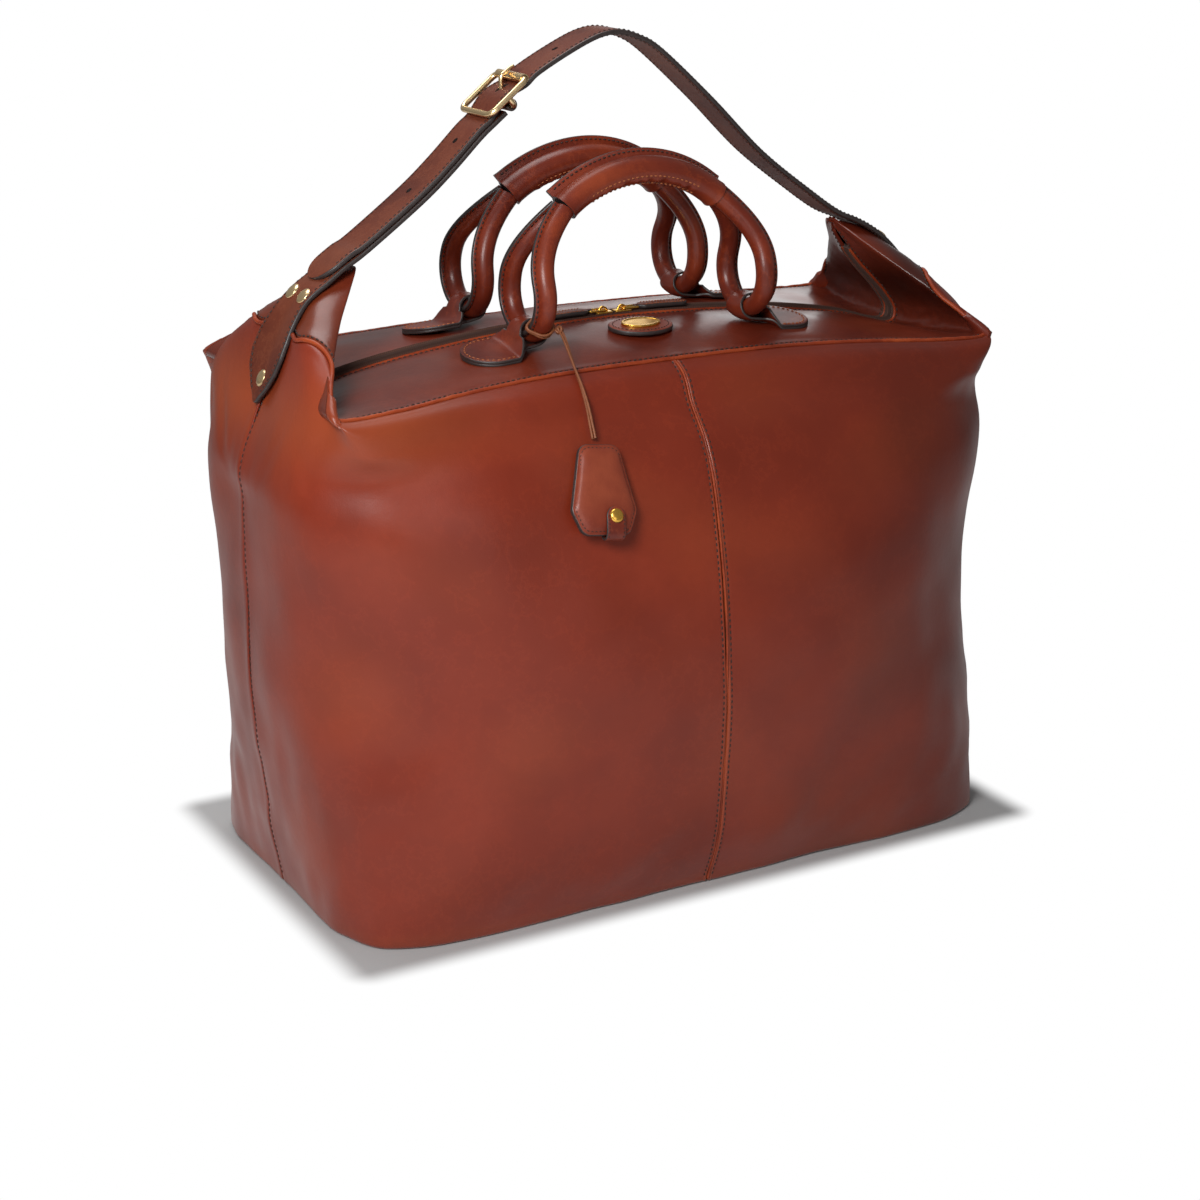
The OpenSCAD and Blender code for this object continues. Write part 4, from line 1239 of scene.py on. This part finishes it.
def makeLoop(name, way, back, node):  # a folded strip: upper layer, round the ring, and back below
    l = loop
    plane = l["base"] + (l["backLift"] if back else l["frontLift"])
    slopeX, slopeY = math.tan(math.radians(l["tiltX"])), math.tan(math.radians(l["tiltY"]))
    out = [(x, plane - x * slopeY) for x in (l["length"], 40, 31, 23, 17.5)]
    upper = [(x, z + l["thick"] / 2) for x, z in out]
    lower = [(x, z - l["thick"] / 2) for x, z in out[::-1]]
    shift = plane - l["base"] - l["frontLift"]
    path = upper + [(x, z + shift * (z < -28)) for x, z in l["around"]] + [(8, plane - 1.2)] + lower
    line, at, total = roundedEnds(smoothLine([(x, 0, z) for x, z in path], 7), 1.0, l["half"], l["half"], 16)
    grow = np.clip((line[:, 0] - 7) / 11, 0, 1) * (line[:, 2] < -27)
    grow = grow * grow * (3 - 2 * grow)
    half = roundHalf(at, total, l["band"] + (l["half"] - l["band"]) * grow, l["half"], l["half"])

    def warp(co, v, h):
        bend = v / handle["ring"]
        reach = -co[..., 2]
        bent = np.stack([co[..., 0], reach * np.sin(bend), -reach * np.cos(bend)], -1)
        level = np.stack([co[..., 0], v, co[..., 2] + v * slopeX], -1)
        share = grow.reshape((-1,) + (1,) * (co.ndim - 1))
        return toBag(bent + (level - bent) * share)

    def toBag(points):
        y = handle["backY"] if back else handle["frontY"]
        return np.stack([way * (points[..., 0] + handle["ringX"]), (-1 if back else 1) * points[..., 1] + y,
                         points[..., 2] + handle["pivot"]], -1)

    strip = Strip(line, (0, 1, 0), half, l["thick"], 0.0, warp)
    strip.piece(name, ["handleLeather", "edgePaint"], "bag", 11, slot="handle_leather", nodes=[node])
    turn = np.linspace(-np.pi / 2, np.pi / 2, 40)
    centre, r = l["length"] - l["half"], l["half"] - l["inset"]
    x = np.concatenate([np.linspace(19, centre, 8), centre + r * np.cos(turn), np.linspace(centre, 19, 8)])
    v = np.concatenate([np.full(8, -r), r * np.sin(turn), np.full(8, r)])
    row = toBag(np.stack([x, v, plane - x * slopeY + l["thick"] + v * slopeX], -1))
    return row, np.broadcast_to((way * slopeY, (1 if back else -1) * slopeX, 1.0), row.shape)


def makeLoops():
    rows = []
    for back, side in ((False, "front"), (True, "back")):
        for way, hand in ((-1, "left"), (1, "right")):
            rows.append(makeLoop(f"{side}{hand.title()}Loop", way, back, f"{side}_{hand}_loop"))
    sew("loopStitches", rows, "tanThread", "bag", loop["stitch"], "handle_leather")


makeLoops()
print("handles and loops made")


# shoulder strap: one leather strip from the right ear over to the buckle and its tail

strap = {
    "width": 34, "thick": 3.2, "lift": 1.9, "split": 181, "crown": 0.15, "leafRound": 14,
    "leafRows": (3.66, 3.52, 3.32, 3.08, 2.85, 2.6), "leafHug": (1, 1, 1, 1, 0.8, 0.4),
    "leafWidth": [  # height and half width
        (340, 7), (352, 15), (362, 20.5), (374, 23.5), (386, 23), (398, 20), (406, 17)],
    "buckle": (-77.5, 513.9), "slope": 39, "stitchInset": 2.6, "stitch": (3.7, 2.6, 0.52),
    "over": [(181.2, 423.5), (159, 438), (116, 469.5), (75, 508), (35, 542.5), (17, 552.5), (2, 556.3),
             (-14, 554), (-36, 544.5)],
    "throughBuckle": [(27, 2.4), (16, 2.4), (0, 5.9), (-17, 2.4), (-28, 2.4)],
    "tail": [(-121, 479), (-143, 460.5), (-181.2, 433), (-192, 427.2), (-206, 417.6), (-213.5, 411)],
    "chape": [(-181.2, 428.7), (-143, 455.9), (-121, 474.2)],
    "chapeThroughBuckle": [(-30, -1.3), (-17, -1.3), (-6, -1.5)],
    "fold": (2.3, 4.05), "foldApart": 9.8, "holeRadius": 2.2, "holeDepth": 12,
    "holes": [(-143, 460.5, 36), (-108.5, 489.3, 40), (-36, 544.5, 30)],  # place and slope
    "prongHole": (7, 6, 2.4),  # along, above and stretch
    "chapeHole": (-143, 456.4, 36, 1, 8),
    "bend": ((0, 0, 0.420), (0, 0, 0.452)),
}
bend = ("bag", "shoulder_strap") + strap["bend"]


def inBuckle(t, n):
    x, z = turned(t, n, strap["slope"])
    return strap["buckle"][0] + x, strap["buckle"][1] + z


def leafLine(side, leadIn):  # x, y, z, row on the ear and how closely it hugs the ear
    points = []
    for k, hug in zip(strap["leafRows"], strap["leafHug"]):
        x, y, z = skin(9.0, k) + strap["lift"] * outward(9.0, k)
        points.append((side * x, 0, z, k, hug))
    return points + [(side * x, 0, z, strap["leafRows"][-1], hug) for x, z, hug in leadIn]


def hugEar(rows, hug, side):
    spread = side * np.linspace(-1.9, 1.9, 77)
    s = (9.0 if side > 0 else 27.0) + spread
    widths = skin(s[None, :], rows[:, None])[..., 1]

    def warp(co, v, h):
        target = np.stack([np.interp(co[i, :, 1], widths[i], s) for i in range(len(rows))])
        k = np.broadcast_to(rows[:, None], target.shape)
        lift = (strap["lift"] + h)[..., None]
        hugged = skin(target, k) + outward(target, k) * lift
        return co + (hugged - co) * hug[:, None, None]
    return warp


def strapStrip(points, side, endRound):
    first = strap["leafRound"]
    line, at, total = roundedEnds(smoothLine(np.array(points, float), 6), 2.2, first, endRound, 14)
    onLeaf = np.arange(len(at)) < np.argmax(np.abs(line[:, 0]) < strap["split"] + 12)
    half = np.where(onLeaf, np.interp(line[:, 2], *zip(*strap["leafWidth"])), strap["width"] / 2)
    half = roundHalf(at, total, half, first, endRound)
    strip = Strip(line[:, :3], (0, -side, 0), half, strap["thick"], strap["crown"],
                  warp=hugEar(line[:, 3], np.clip(line[:, 4], 0, 1), side))
    return strip, line


def makeStrap():
    w = strap
    looks = ["strapLeather", "edgePaint"]
    stay = (w["leafRows"][-1], 0)
    points = leafLine(1, [(195, 418, 0.1)])
    path = w["over"] + [inBuckle(*p) for p in w["throughBuckle"]] + w["tail"]
    points += [(x, 0, z) + stay for x, z in path]
    strip, line = strapStrip(points, 1, w["width"] / 2)
    t, n, stretch = w["prongHole"]
    deep = w["holeDepth"]
    cuts = [hole + (1, deep) for hole in w["holes"]] + [inBuckle(t, n) + (w["slope"], stretch, deep)]
    strip.piece("shoulderStrap", looks, None, 9, bend, cuts, slot="strap_leather",
                nodes=["strap", "strap_tip", "right_anchor"])
    inset = w["stitchInset"]
    rows = [strip.row(inset, side, 10, -12) for side in (-1, 1)]
    rows += [strip.row(inset, side, 40, -16, -1) for side in (-1, 1)]
    rivetSpots = {"right": rivetPlaces(strip, line)}

    points = leafLine(-1, [(196, 420, 0.1)]) + [(x, 0, z) + stay for x, z in w["chape"]]
    points += [inBuckle(t, n)[:1] + (0,) + inBuckle(t, n)[1:] + stay for t, n in w["chapeThroughBuckle"]]
    strip, line = strapStrip(points, -1, 0)
    strip.piece("buckleChape", looks, None, 9, bend, [w["chapeHole"]],
                slot="strap_leather", nodes=["left_chape", "buckle_chape"])
    rows += [strip.row(inset, side, 10, -10) for side in (-1, 1)]
    sew("strapStitches", rows, "darkThread", None, w["stitch"], "strap_leather", bend)
    rivetSpots["left"] = rivetPlaces(strip, line)
    makeFold(looks)
    return rivetSpots


def makeFold(looks):  # the chape's fold round the buckle's middle bar, with the prong's opening
    inner, outer = strap["fold"]
    turn = np.radians(np.linspace(-205, 70, 26))
    middle = (inner + outer) / 2
    path = [inBuckle(middle * math.cos(a), middle * math.sin(a)) for a in turn]
    line = np.array([(x, 0, z) for x, z in path])
    for name, centre in (("foldFront", -strap["foldApart"]), ("foldBack", strap["foldApart"])):
        strip = Strip(line + (0, centre, 0), (0, 1, 0), 7.0, outer - inner)
        strip.piece(name, looks, "shoulder_strap", 5, slot="strap_leather")


rivet = {"rows": [(2.88, -9), (2.88, 9), (3.52, 0)], "radius": 5.5, "dome": 1.9, "rim": 0.55}


def rivetPlaces(strip, line):
    places = []
    for row, y in rivet["rows"]:
        index = int(np.argmin(np.abs(line[:, 3] - row) + (line[:, 4] < 0.3)))
        points, normals = strip.trace(y)
        places.append((points[index], normals[index]))
    return places


def addDome(place, normal, radius, dome, rim):
    turn = Vector(normal).to_track_quat("Z", "Y").to_euler()
    spot = [c * mm for c in place]
    bpy.ops.mesh.primitive_uv_sphere_add(segments=32, ring_count=16, radius=radius * mm, location=spot,
                                         rotation=turn, scale=(1, 1, dome / radius))
    ball = bpy.context.object
    bpy.ops.mesh.primitive_torus_add(major_radius=(radius - rim * 0.6) * mm, minor_radius=rim * mm,
                                     major_segments=40, minor_segments=8, location=spot, rotation=turn)
    return [ball, bpy.context.object]


def makeRivets(places):
    for side, spots in places.items():
        parts = []
        for place, normal in spots:
            parts += addDome(place, normal, rivet["radius"], rivet["dome"], rivet["rim"])
        piece = joined(parts, side + "RivetHeads")
        piece.data.materials.append(finishes["paleBrass"])
        settle(piece, "bag", [side + "_rivets"], outwards=False)


makeRivets(makeStrap())
print("strap and rivets made")


# buckle

buckle = {"half": 21, "bar": 17, "rise": 7.2, "wire": 2.1, "corner": 5, "roller": 3.0, "prong": 1.5,
          "prongWidths": (1.6, 1.55, 1.2, 0.7), "eye": (3.5, 1.35), "body": "shoulder_strap"}


def buckleToBag(points):
    points = np.asarray(points, float)
    x, z = inBuckle(points[..., 0], points[..., 2])
    return np.stack([x, points[..., 1], z], -1)


def hoopPiece(name, line, radius, sides, look, body, hint=(0, 0, 1), **words):  # a closed ring of wire
    line = np.asarray(line, float)
    t = unit(np.roll(line, -1, 0) - np.roll(line, 1, 0))
    u = unit(np.cross(np.asarray(hint, float), t))
    v = np.cross(t, u)
    section = roundWays(sides) * radius
    rings = line[:, None] + section[None, :, :1] * u[:, None] + section[None, :, 1:] * v[:, None]
    count = len(line)
    faces = [(i * sides + j, i * sides + (j + 1) % sides, (i + 1) % count * sides + (j + 1) % sides,
              (i + 1) % count * sides + j) for i in range(count) for j in range(sides)]
    return newPiece(name, rings.reshape(-1, 3), faces, [look], body, angle=60, **words)


def makeBuckle():
    b = buckle
    corners, r = [], b["corner"]
    for cx, cy, start in ((1, 1, 0), (-1, 1, 90), (-1, -1, 180), (1, -1, 270)):
        turn = np.radians(start + np.linspace(0, 90, 10))
        corners.append(np.stack([cx * (b["bar"] - r) + r * np.cos(turn),
                                 cy * (b["half"] - r) + r * np.sin(turn)], 1))
    outline = evenLine(np.concatenate(corners + [corners[0][:1]]), 1.6)[:-1]
    frameLine = np.stack([outline[:, 0], outline[:, 1], np.full(len(outline), b["rise"])], 1)
    hoopPiece("buckleWire", buckleToBag(frameLine), b["wire"], 14, "paleBrass", b["body"],
              hint=buckleToBag([0, 0, 1.0]) - buckleToBag([0, 0, 0.0]), slot="pale_brass",
              nodes=["buckle_frame"])
    side = [(0, b["half"] - 0.3, b["rise"]), (0, b["half"] - 0.5, b["rise"] * 0.5), (0, b["half"] - 2, 0.5),
            (0, b["half"] - 5, 0)]
    middle = smoothLine(side + [(x, -y, z) for x, y, z in side[::-1]], 6)
    tubePiece("buckleBar", buckleToBag(middle), b["wire"] * 0.95, 14, "paleBrass", b["body"], (1, 0, 0.1),
              slot="pale_brass")
    top = b["rise"] + b["roller"] + b["prong"]
    path = smoothLine([(3.2, 0, 1.8), (6.5, 0, 6.4), (11.0, 0, top + 0.2), (15, 0, top + 0.5),
                       (20, 0, top + 0.2), (22.6, 0, top - 0.6)], 6)
    width = np.interp(np.linspace(0, 1, len(path)), [0, 0.5, 0.93, 1], b["prongWidths"])
    rings = tubeRings(buckleToBag(path), width, 12, (0, 1, 0))
    prong = newPiece("prongTongue", rings.reshape(-1, 3), ringFaces(len(rings), 12), ["paleBrass"], None,
                     angle=60)
    turn = np.radians(np.arange(0, 360, 12))
    r, wire = b["eye"]
    eye = np.stack([r * np.cos(turn), 0 * turn, r * np.sin(turn)], 1)
    ring = hoopPiece("prongEye", buckleToBag(eye), wire, 10, "paleBrass", None, (0, 1, 0))
    settle(joined([prong, ring], "bucklePin"), bodyOf["buckle_prong"], ["buckle_prong"], 60,
           outwards=False)


makeBuckle()
print("buckle made")


# oval patch with its plate

patch = {"at": (3, -44, 365.1), "tilt": 4.6, "half": (23, 18), "thick": 2.6, "plateHalf": (14, 9.8),
         "plateThick": 1.5, "sides": 72, "stitchInset": 3, "stitch": (2.9, 2.1, 0.34)}


def onPatch(points):
    points = np.asarray(points, float)
    y, z = turned(points[..., 1], points[..., 2], patch["tilt"])
    return np.stack([points[..., 0], y, z], -1) + patch["at"]


def ovalRings(half, steps):  # rings of an oval: inset and height of each
    x, y = roundWays(patch["sides"]).T
    return np.array([np.stack([(half[0] - inset) * x, (half[1] - inset) * y, 0 * x + z], 1)
                     for inset, z in steps])


def makePatch():
    p = patch
    t = p["thick"]
    steps = [(1.2, -0.6), (0.3, -0.3), (0, 0.3), (0, t - 0.8), (0.35, t - 0.25), (0.9, t), (2.5, t + 0.1),
             (7, t + 0.1), (12, t + 0.1)]
    rings = ovalRings(p["half"], steps)
    sides = p["sides"]
    looks = np.repeat([1, 1, 1, 1, 0, 0, 0, 0], sides)
    newPiece("patchLeather", onPatch(rings).reshape(-1, 3), ringFaces(len(steps), sides),
             ["bellLeather", "edgePaint"], "bag", np.concatenate([looks, [0, 0]]), "strap_leather",
             ["oval_patch"])
    turn = np.linspace(0, 2 * np.pi, 160)
    a, b = (half - p["stitchInset"] for half in p["half"])
    row = np.stack([a * np.cos(turn), b * np.sin(turn), 0 * turn + t + 0.1], 1)
    up = np.broadcast_to(onPatch([0, 0, 1.0]) - onPatch([0, 0, 0.0]), row.shape)
    sew("patchStitches", [(onPatch(row), up)], "darkThread", "bag", p["stitch"], "strap_leather")

    a, b = p["plateHalf"]
    bpy.ops.mesh.primitive_cylinder_add(vertices=64, radius=1, depth=p["plateThick"] * mm,
                                        location=(0, 0, p["plateThick"] / 2 * mm), scale=(a * mm, b * mm, 1))
    plate = bpy.context.object
    bpy.ops.object.transform_apply(location=True, rotation=False, scale=True)
    selectFaces(plate, lambda c, n: n.z > 0.9)
    bpy.ops.mesh.inset(thickness=0.5 * mm, depth=0.25 * mm)
    bpy.ops.mesh.inset(thickness=0.9 * mm)
    bpy.ops.mesh.inset(thickness=0.4 * mm, depth=-0.45 * mm)
    bpy.ops.mesh.inset(thickness=3 * mm, depth=0.12 * mm)
    bpy.ops.mesh.select_all(action="SELECT")
    bpy.ops.mesh.bevel(offset=0.12 * mm, segments=2)
    bpy.ops.object.mode_set(mode="OBJECT")
    plate.name = "ovalBadge"
    moveMesh(plate, lambda co: onPatch(co + (0, 0, t + 0.1)))
    plate.data.materials.append(finishes["yellowBrass"])
    settle(plate, "bag", ["oval_plate"], outwards=False)


makePatch()
print("patch made")


# key bell: two tapered leaves sewn at the edge, a closing tab and its snap

keyBell = {
    "at": (-84.5, -144.3, 289), "tilt": 26, "roll": 8, "size": (45, 58), "corner": 7, "leaf": 1.9,
    "pillow": 3.4, "stitchInset": 2.4, "stitch": (2.8, 2.0, 0.36), "tabStitch": (2.4, 1.7, 0.3),
    "tabHalf": 6.5, "tabThick": 1.6, "tabX": 5,
    "tab": [(1.2, -20), (1.3, -26), (0.7, -29.6), (-1.8, -31.2), (-4.6, -30.6), (-6.5, -28), (-7.7, -22),
            (-8.4, -16), (-8.5, -11.5)],  # depth and height
    "snap": (-9.3, -17.5, 4.4),
}


def bellPlace(points):
    points = np.asarray(points, float)
    x, z = turned(points[..., 0], points[..., 2], -keyBell["roll"])
    y, z = turned(points[..., 1], z, -keyBell["tilt"])
    return np.stack([x, y, z], -1) + keyBell["at"]


def bellOutline():
    w, h = keyBell["size"]
    r = keyBell["corner"]
    corners = np.array([(m * x, z) for m in (-1, 1) for x, z in
                        ((w * 0.33 - r, h / 2 - r), (w / 2 - r, -h * 0.22), (w / 2 - r - 4, -h / 2 + r))])
    turn = np.radians(np.arange(0, 360, 3))
    ways = np.stack([np.cos(turn), np.sin(turn)], 1)
    outline = corners[np.argmax(ways @ corners.T, axis=1)] + r * ways
    return evenLine(np.concatenate([outline, outline[:1]]), 1.9)[:-1]


def bellLeaf(name, node, steps, body):  # steps: share of the outline or inset, and depth
    outline = bellOutline()
    reach = np.linalg.norm(outline, axis=1, keepdims=True)
    rings = []
    for inset, depth in steps:
        flat = outline * (1 - inset / reach) if inset < 8 else outline * (1 - (inset - 8))
        rings.append(np.stack([flat[:, 0], np.full(len(flat), -depth), flat[:, 1]], 1))
    points = bellPlace(np.array(rings))
    count = len(outline)
    painted = np.array([inset <= 0.35 for inset, _ in steps])
    looks = np.repeat((painted[:-1] & painted[1:]).astype(int), count)
    return newPiece(name, points.reshape(-1, 3), ringFaces(len(steps), count), ["bellLeather", "edgePaint"],
                    body, np.concatenate([looks, [0, 0]]), "strap_leather", [node], angle=40)


def makeBell():
    k = keyBell
    body = bodyOf["bell_front"]
    t = k["leaf"]
    full = k["pillow"]
    pillow = [(8 + share, 2 * t + full * (1 - (1 - share) ** 4.5))
              for share in (0.13, 0.2, 0.3, 0.42, 0.6, 0.8)]
    backSteps = [(8.8, 0.1), (2, 0), (0.9, 0), (0.35, 0.15), (0, 0.5), (0, t - 0.1), (0.3, t), (2, t),
                 (8.8, t)]
    frontSteps = [(8.8, t + 0.1 + full), (8.4, t + 0.1 + full * 0.85), (8.2, t + full * 0.5), (2, t + 0.05),
                  (0.3, t + 0.05), (0, t + 0.2), (0, 2 * t - 0.4), (0.35, 2 * t - 0.1), (0.9, 2 * t),
                  (1.6, 2 * t)]
    bellLeaf("bellBackLeaf", "bell_back", backSteps, body)
    bellLeaf("bellFrontLeaf", "bell_front", frontSteps + pillow, body)
    outline = bellOutline()
    outline = np.concatenate([outline, outline[:1]])
    reach = np.linalg.norm(outline, axis=1, keepdims=True)
    row = outline * (1 - k["stitchInset"] / reach)
    line = np.stack([row[:, 0], np.full(len(row), -(2 * t + 0.35)), row[:, 1]], 1)
    normals = bellPlace(line + (0, -1, 0)) - bellPlace(line)
    sew("bellStitches", [(bellPlace(line), normals)], "darkThread", body, k["stitch"], "strap_leather")

    path = [(k["tabX"], y, z) for y, z in k["tab"]]
    line, at, total = roundedEnds(smoothLine(path, 6), 1.1, 0, k["tabHalf"])
    half = roundHalf(at, total, k["tabHalf"], 0, k["tabHalf"])
    strip = Strip(line, (-1, 0, 0), half, k["tabThick"], 0.1, warp=lambda co, v, h: bellPlace(co))
    tabBody = bodyOf["bell_tab"]
    strip.piece("bellTab", ["bellLeather", "edgePaint"], tabBody, 7, slot="strap_leather", nodes=["bell_tab"])
    rows = [strip.row(1.4, side, 14, -9) for side in (-1, 1)]
    sew("bellTabStitches", rows, "darkThread", tabBody, k["tabStitch"], "strap_leather")
    y, z, radius = k["snap"]
    place = bellPlace([k["tabX"], y, z])
    normal = bellPlace([k["tabX"], y - 1, z + 0.05]) - place
    snap = joined(addDome(place, normal, radius, 1.7, 0.5), "bellSnapCap")
    snap.data.materials.append(finishes["yellowBrass"])
    settle(snap, bodyOf["bell_snap"], ["bell_snap"], outwards=False)


makeBell()


# lace hitch: two turns of the lace round the handle rope, and its knot

hitch = {"angle": 43, "turns": (-1.6, 1.2), "radius": 7.5, "overFin": 3.2, "strand": 0.9,
         "knot": (-73.6, -71.2, 376.6), "knotTurns": ((0.2, 1.7), (1.3, 1.9), (2.3, 1.6))}


def makeHitch():
    h = hitch
    a = math.radians(h["angle"])
    centre = np.array([-handle["ringX"], handle["frontY"] - handle["ring"] * math.sin(a),
                       handle["pivot"] - handle["ring"] * math.cos(a)])
    out = np.array([0, -math.sin(a), -math.cos(a)])
    along = np.array([0, -math.cos(a), math.sin(a)])
    right = np.array([1.0, 0, 0])
    turn = np.radians(np.arange(0, 360, 6))[:, None]
    away = np.abs(np.arctan2(np.sin(turn - np.pi), np.cos(turn - np.pi)))
    reach = h["radius"] + h["overFin"] * bell(away, 0.42)
    parts = []
    for shift in h["turns"]:
        slope = 0.9 * np.cos(turn) * np.sign(shift)
        line = centre + reach * (np.cos(turn) * right + np.sin(turn) * out) + (shift + slope) * along
        parts.append(hoopPiece("hitchTurn", line, h["strand"], 8, "laceLeather", None, along))
    knot = np.array(h["knot"])
    for tilt, size in h["knotTurns"]:
        u = math.cos(tilt) * right + math.sin(tilt) * along
        line = knot + size * (np.cos(turn) * u * 1.25 + np.sin(turn) * out)
        parts.append(hoopPiece("hitchKnot", line, h["strand"], 8, "laceLeather", None, np.cross(u, out)))
    settle(joined(parts, "laceHitchKnot"), "bag", ["lace_hitch"], 60, outwards=False)


makeHitch()
print("key bell and hitch made")


# base, lining, and finishes for the CAD nodes that stay

under = {"size": (251, 143), "power": 8, "thick": 2.7, "sides": 144}
liner = {"rows": (0.3, 0.965, 40), "inside": 3.5, "swell": (0.25, 60, 61), "behind": 4.4}


def makeBase():
    x, y = roundWays(under["sides"]).T
    n, top = under["power"], under["thick"]
    reach = (np.abs(x) ** n + np.abs(y) ** n) ** (-1 / n)
    a, b = under["size"]
    steps = ((60, 0.5), (30, 0.25), (9, 0.05), (4.5, 0.3), (3.9, 1.2), (3.9, 2.4), (5, top), (30, top),
             (60, top))
    rings = [np.stack([(a - inset) * x * reach, (b - inset) * y * reach, 0 * x + z], 1) for inset, z in steps]
    newPiece("baseLeather", np.array(rings).reshape(-1, 3), ringFaces(len(rings), len(x)), ["wallLeather"],
             "bag", slot="wall_leather", nodes=["base_panel"])


def liningRowsOf(columns):
    start = seamRow(columns)[:, None] + 0.02
    return start + (baseRow - start) * np.linspace(*liner["rows"])


def liningRelief(s, k, p):
    height, size, seed = liner["swell"]
    return -liner["inside"] + height * waves(p, size, seed)


def makeLining():
    for quadrant in range(4):
        panel(f"lining{quadrant + 1}", quarterColumns(quadrant)[::3], liningRowsOf, liningRelief,
              "liningCloth", "lining", "lining", behind=liner["behind"])


def finishNodes():
    looks = {"base_board": "fibreBoard", "left_puller_link": "yellowBrass",
             "right_puller_link": "yellowBrass", "buckle_roller": "paleBrass", "bell_keys": "paleBrass"}
    for node, look in looks.items():
        materials = frame["nodes"][node].data.materials
        materials.clear()
        materials.append(finishes[look])


makeBase()
makeLining()
finishNodes()
print("base and lining made")


# the lace strands' points, turned to metres and not kept

for strand, line in laceStrands:
    tuple(line[0] * mm)
    [tuple(p) for p in line * mm]
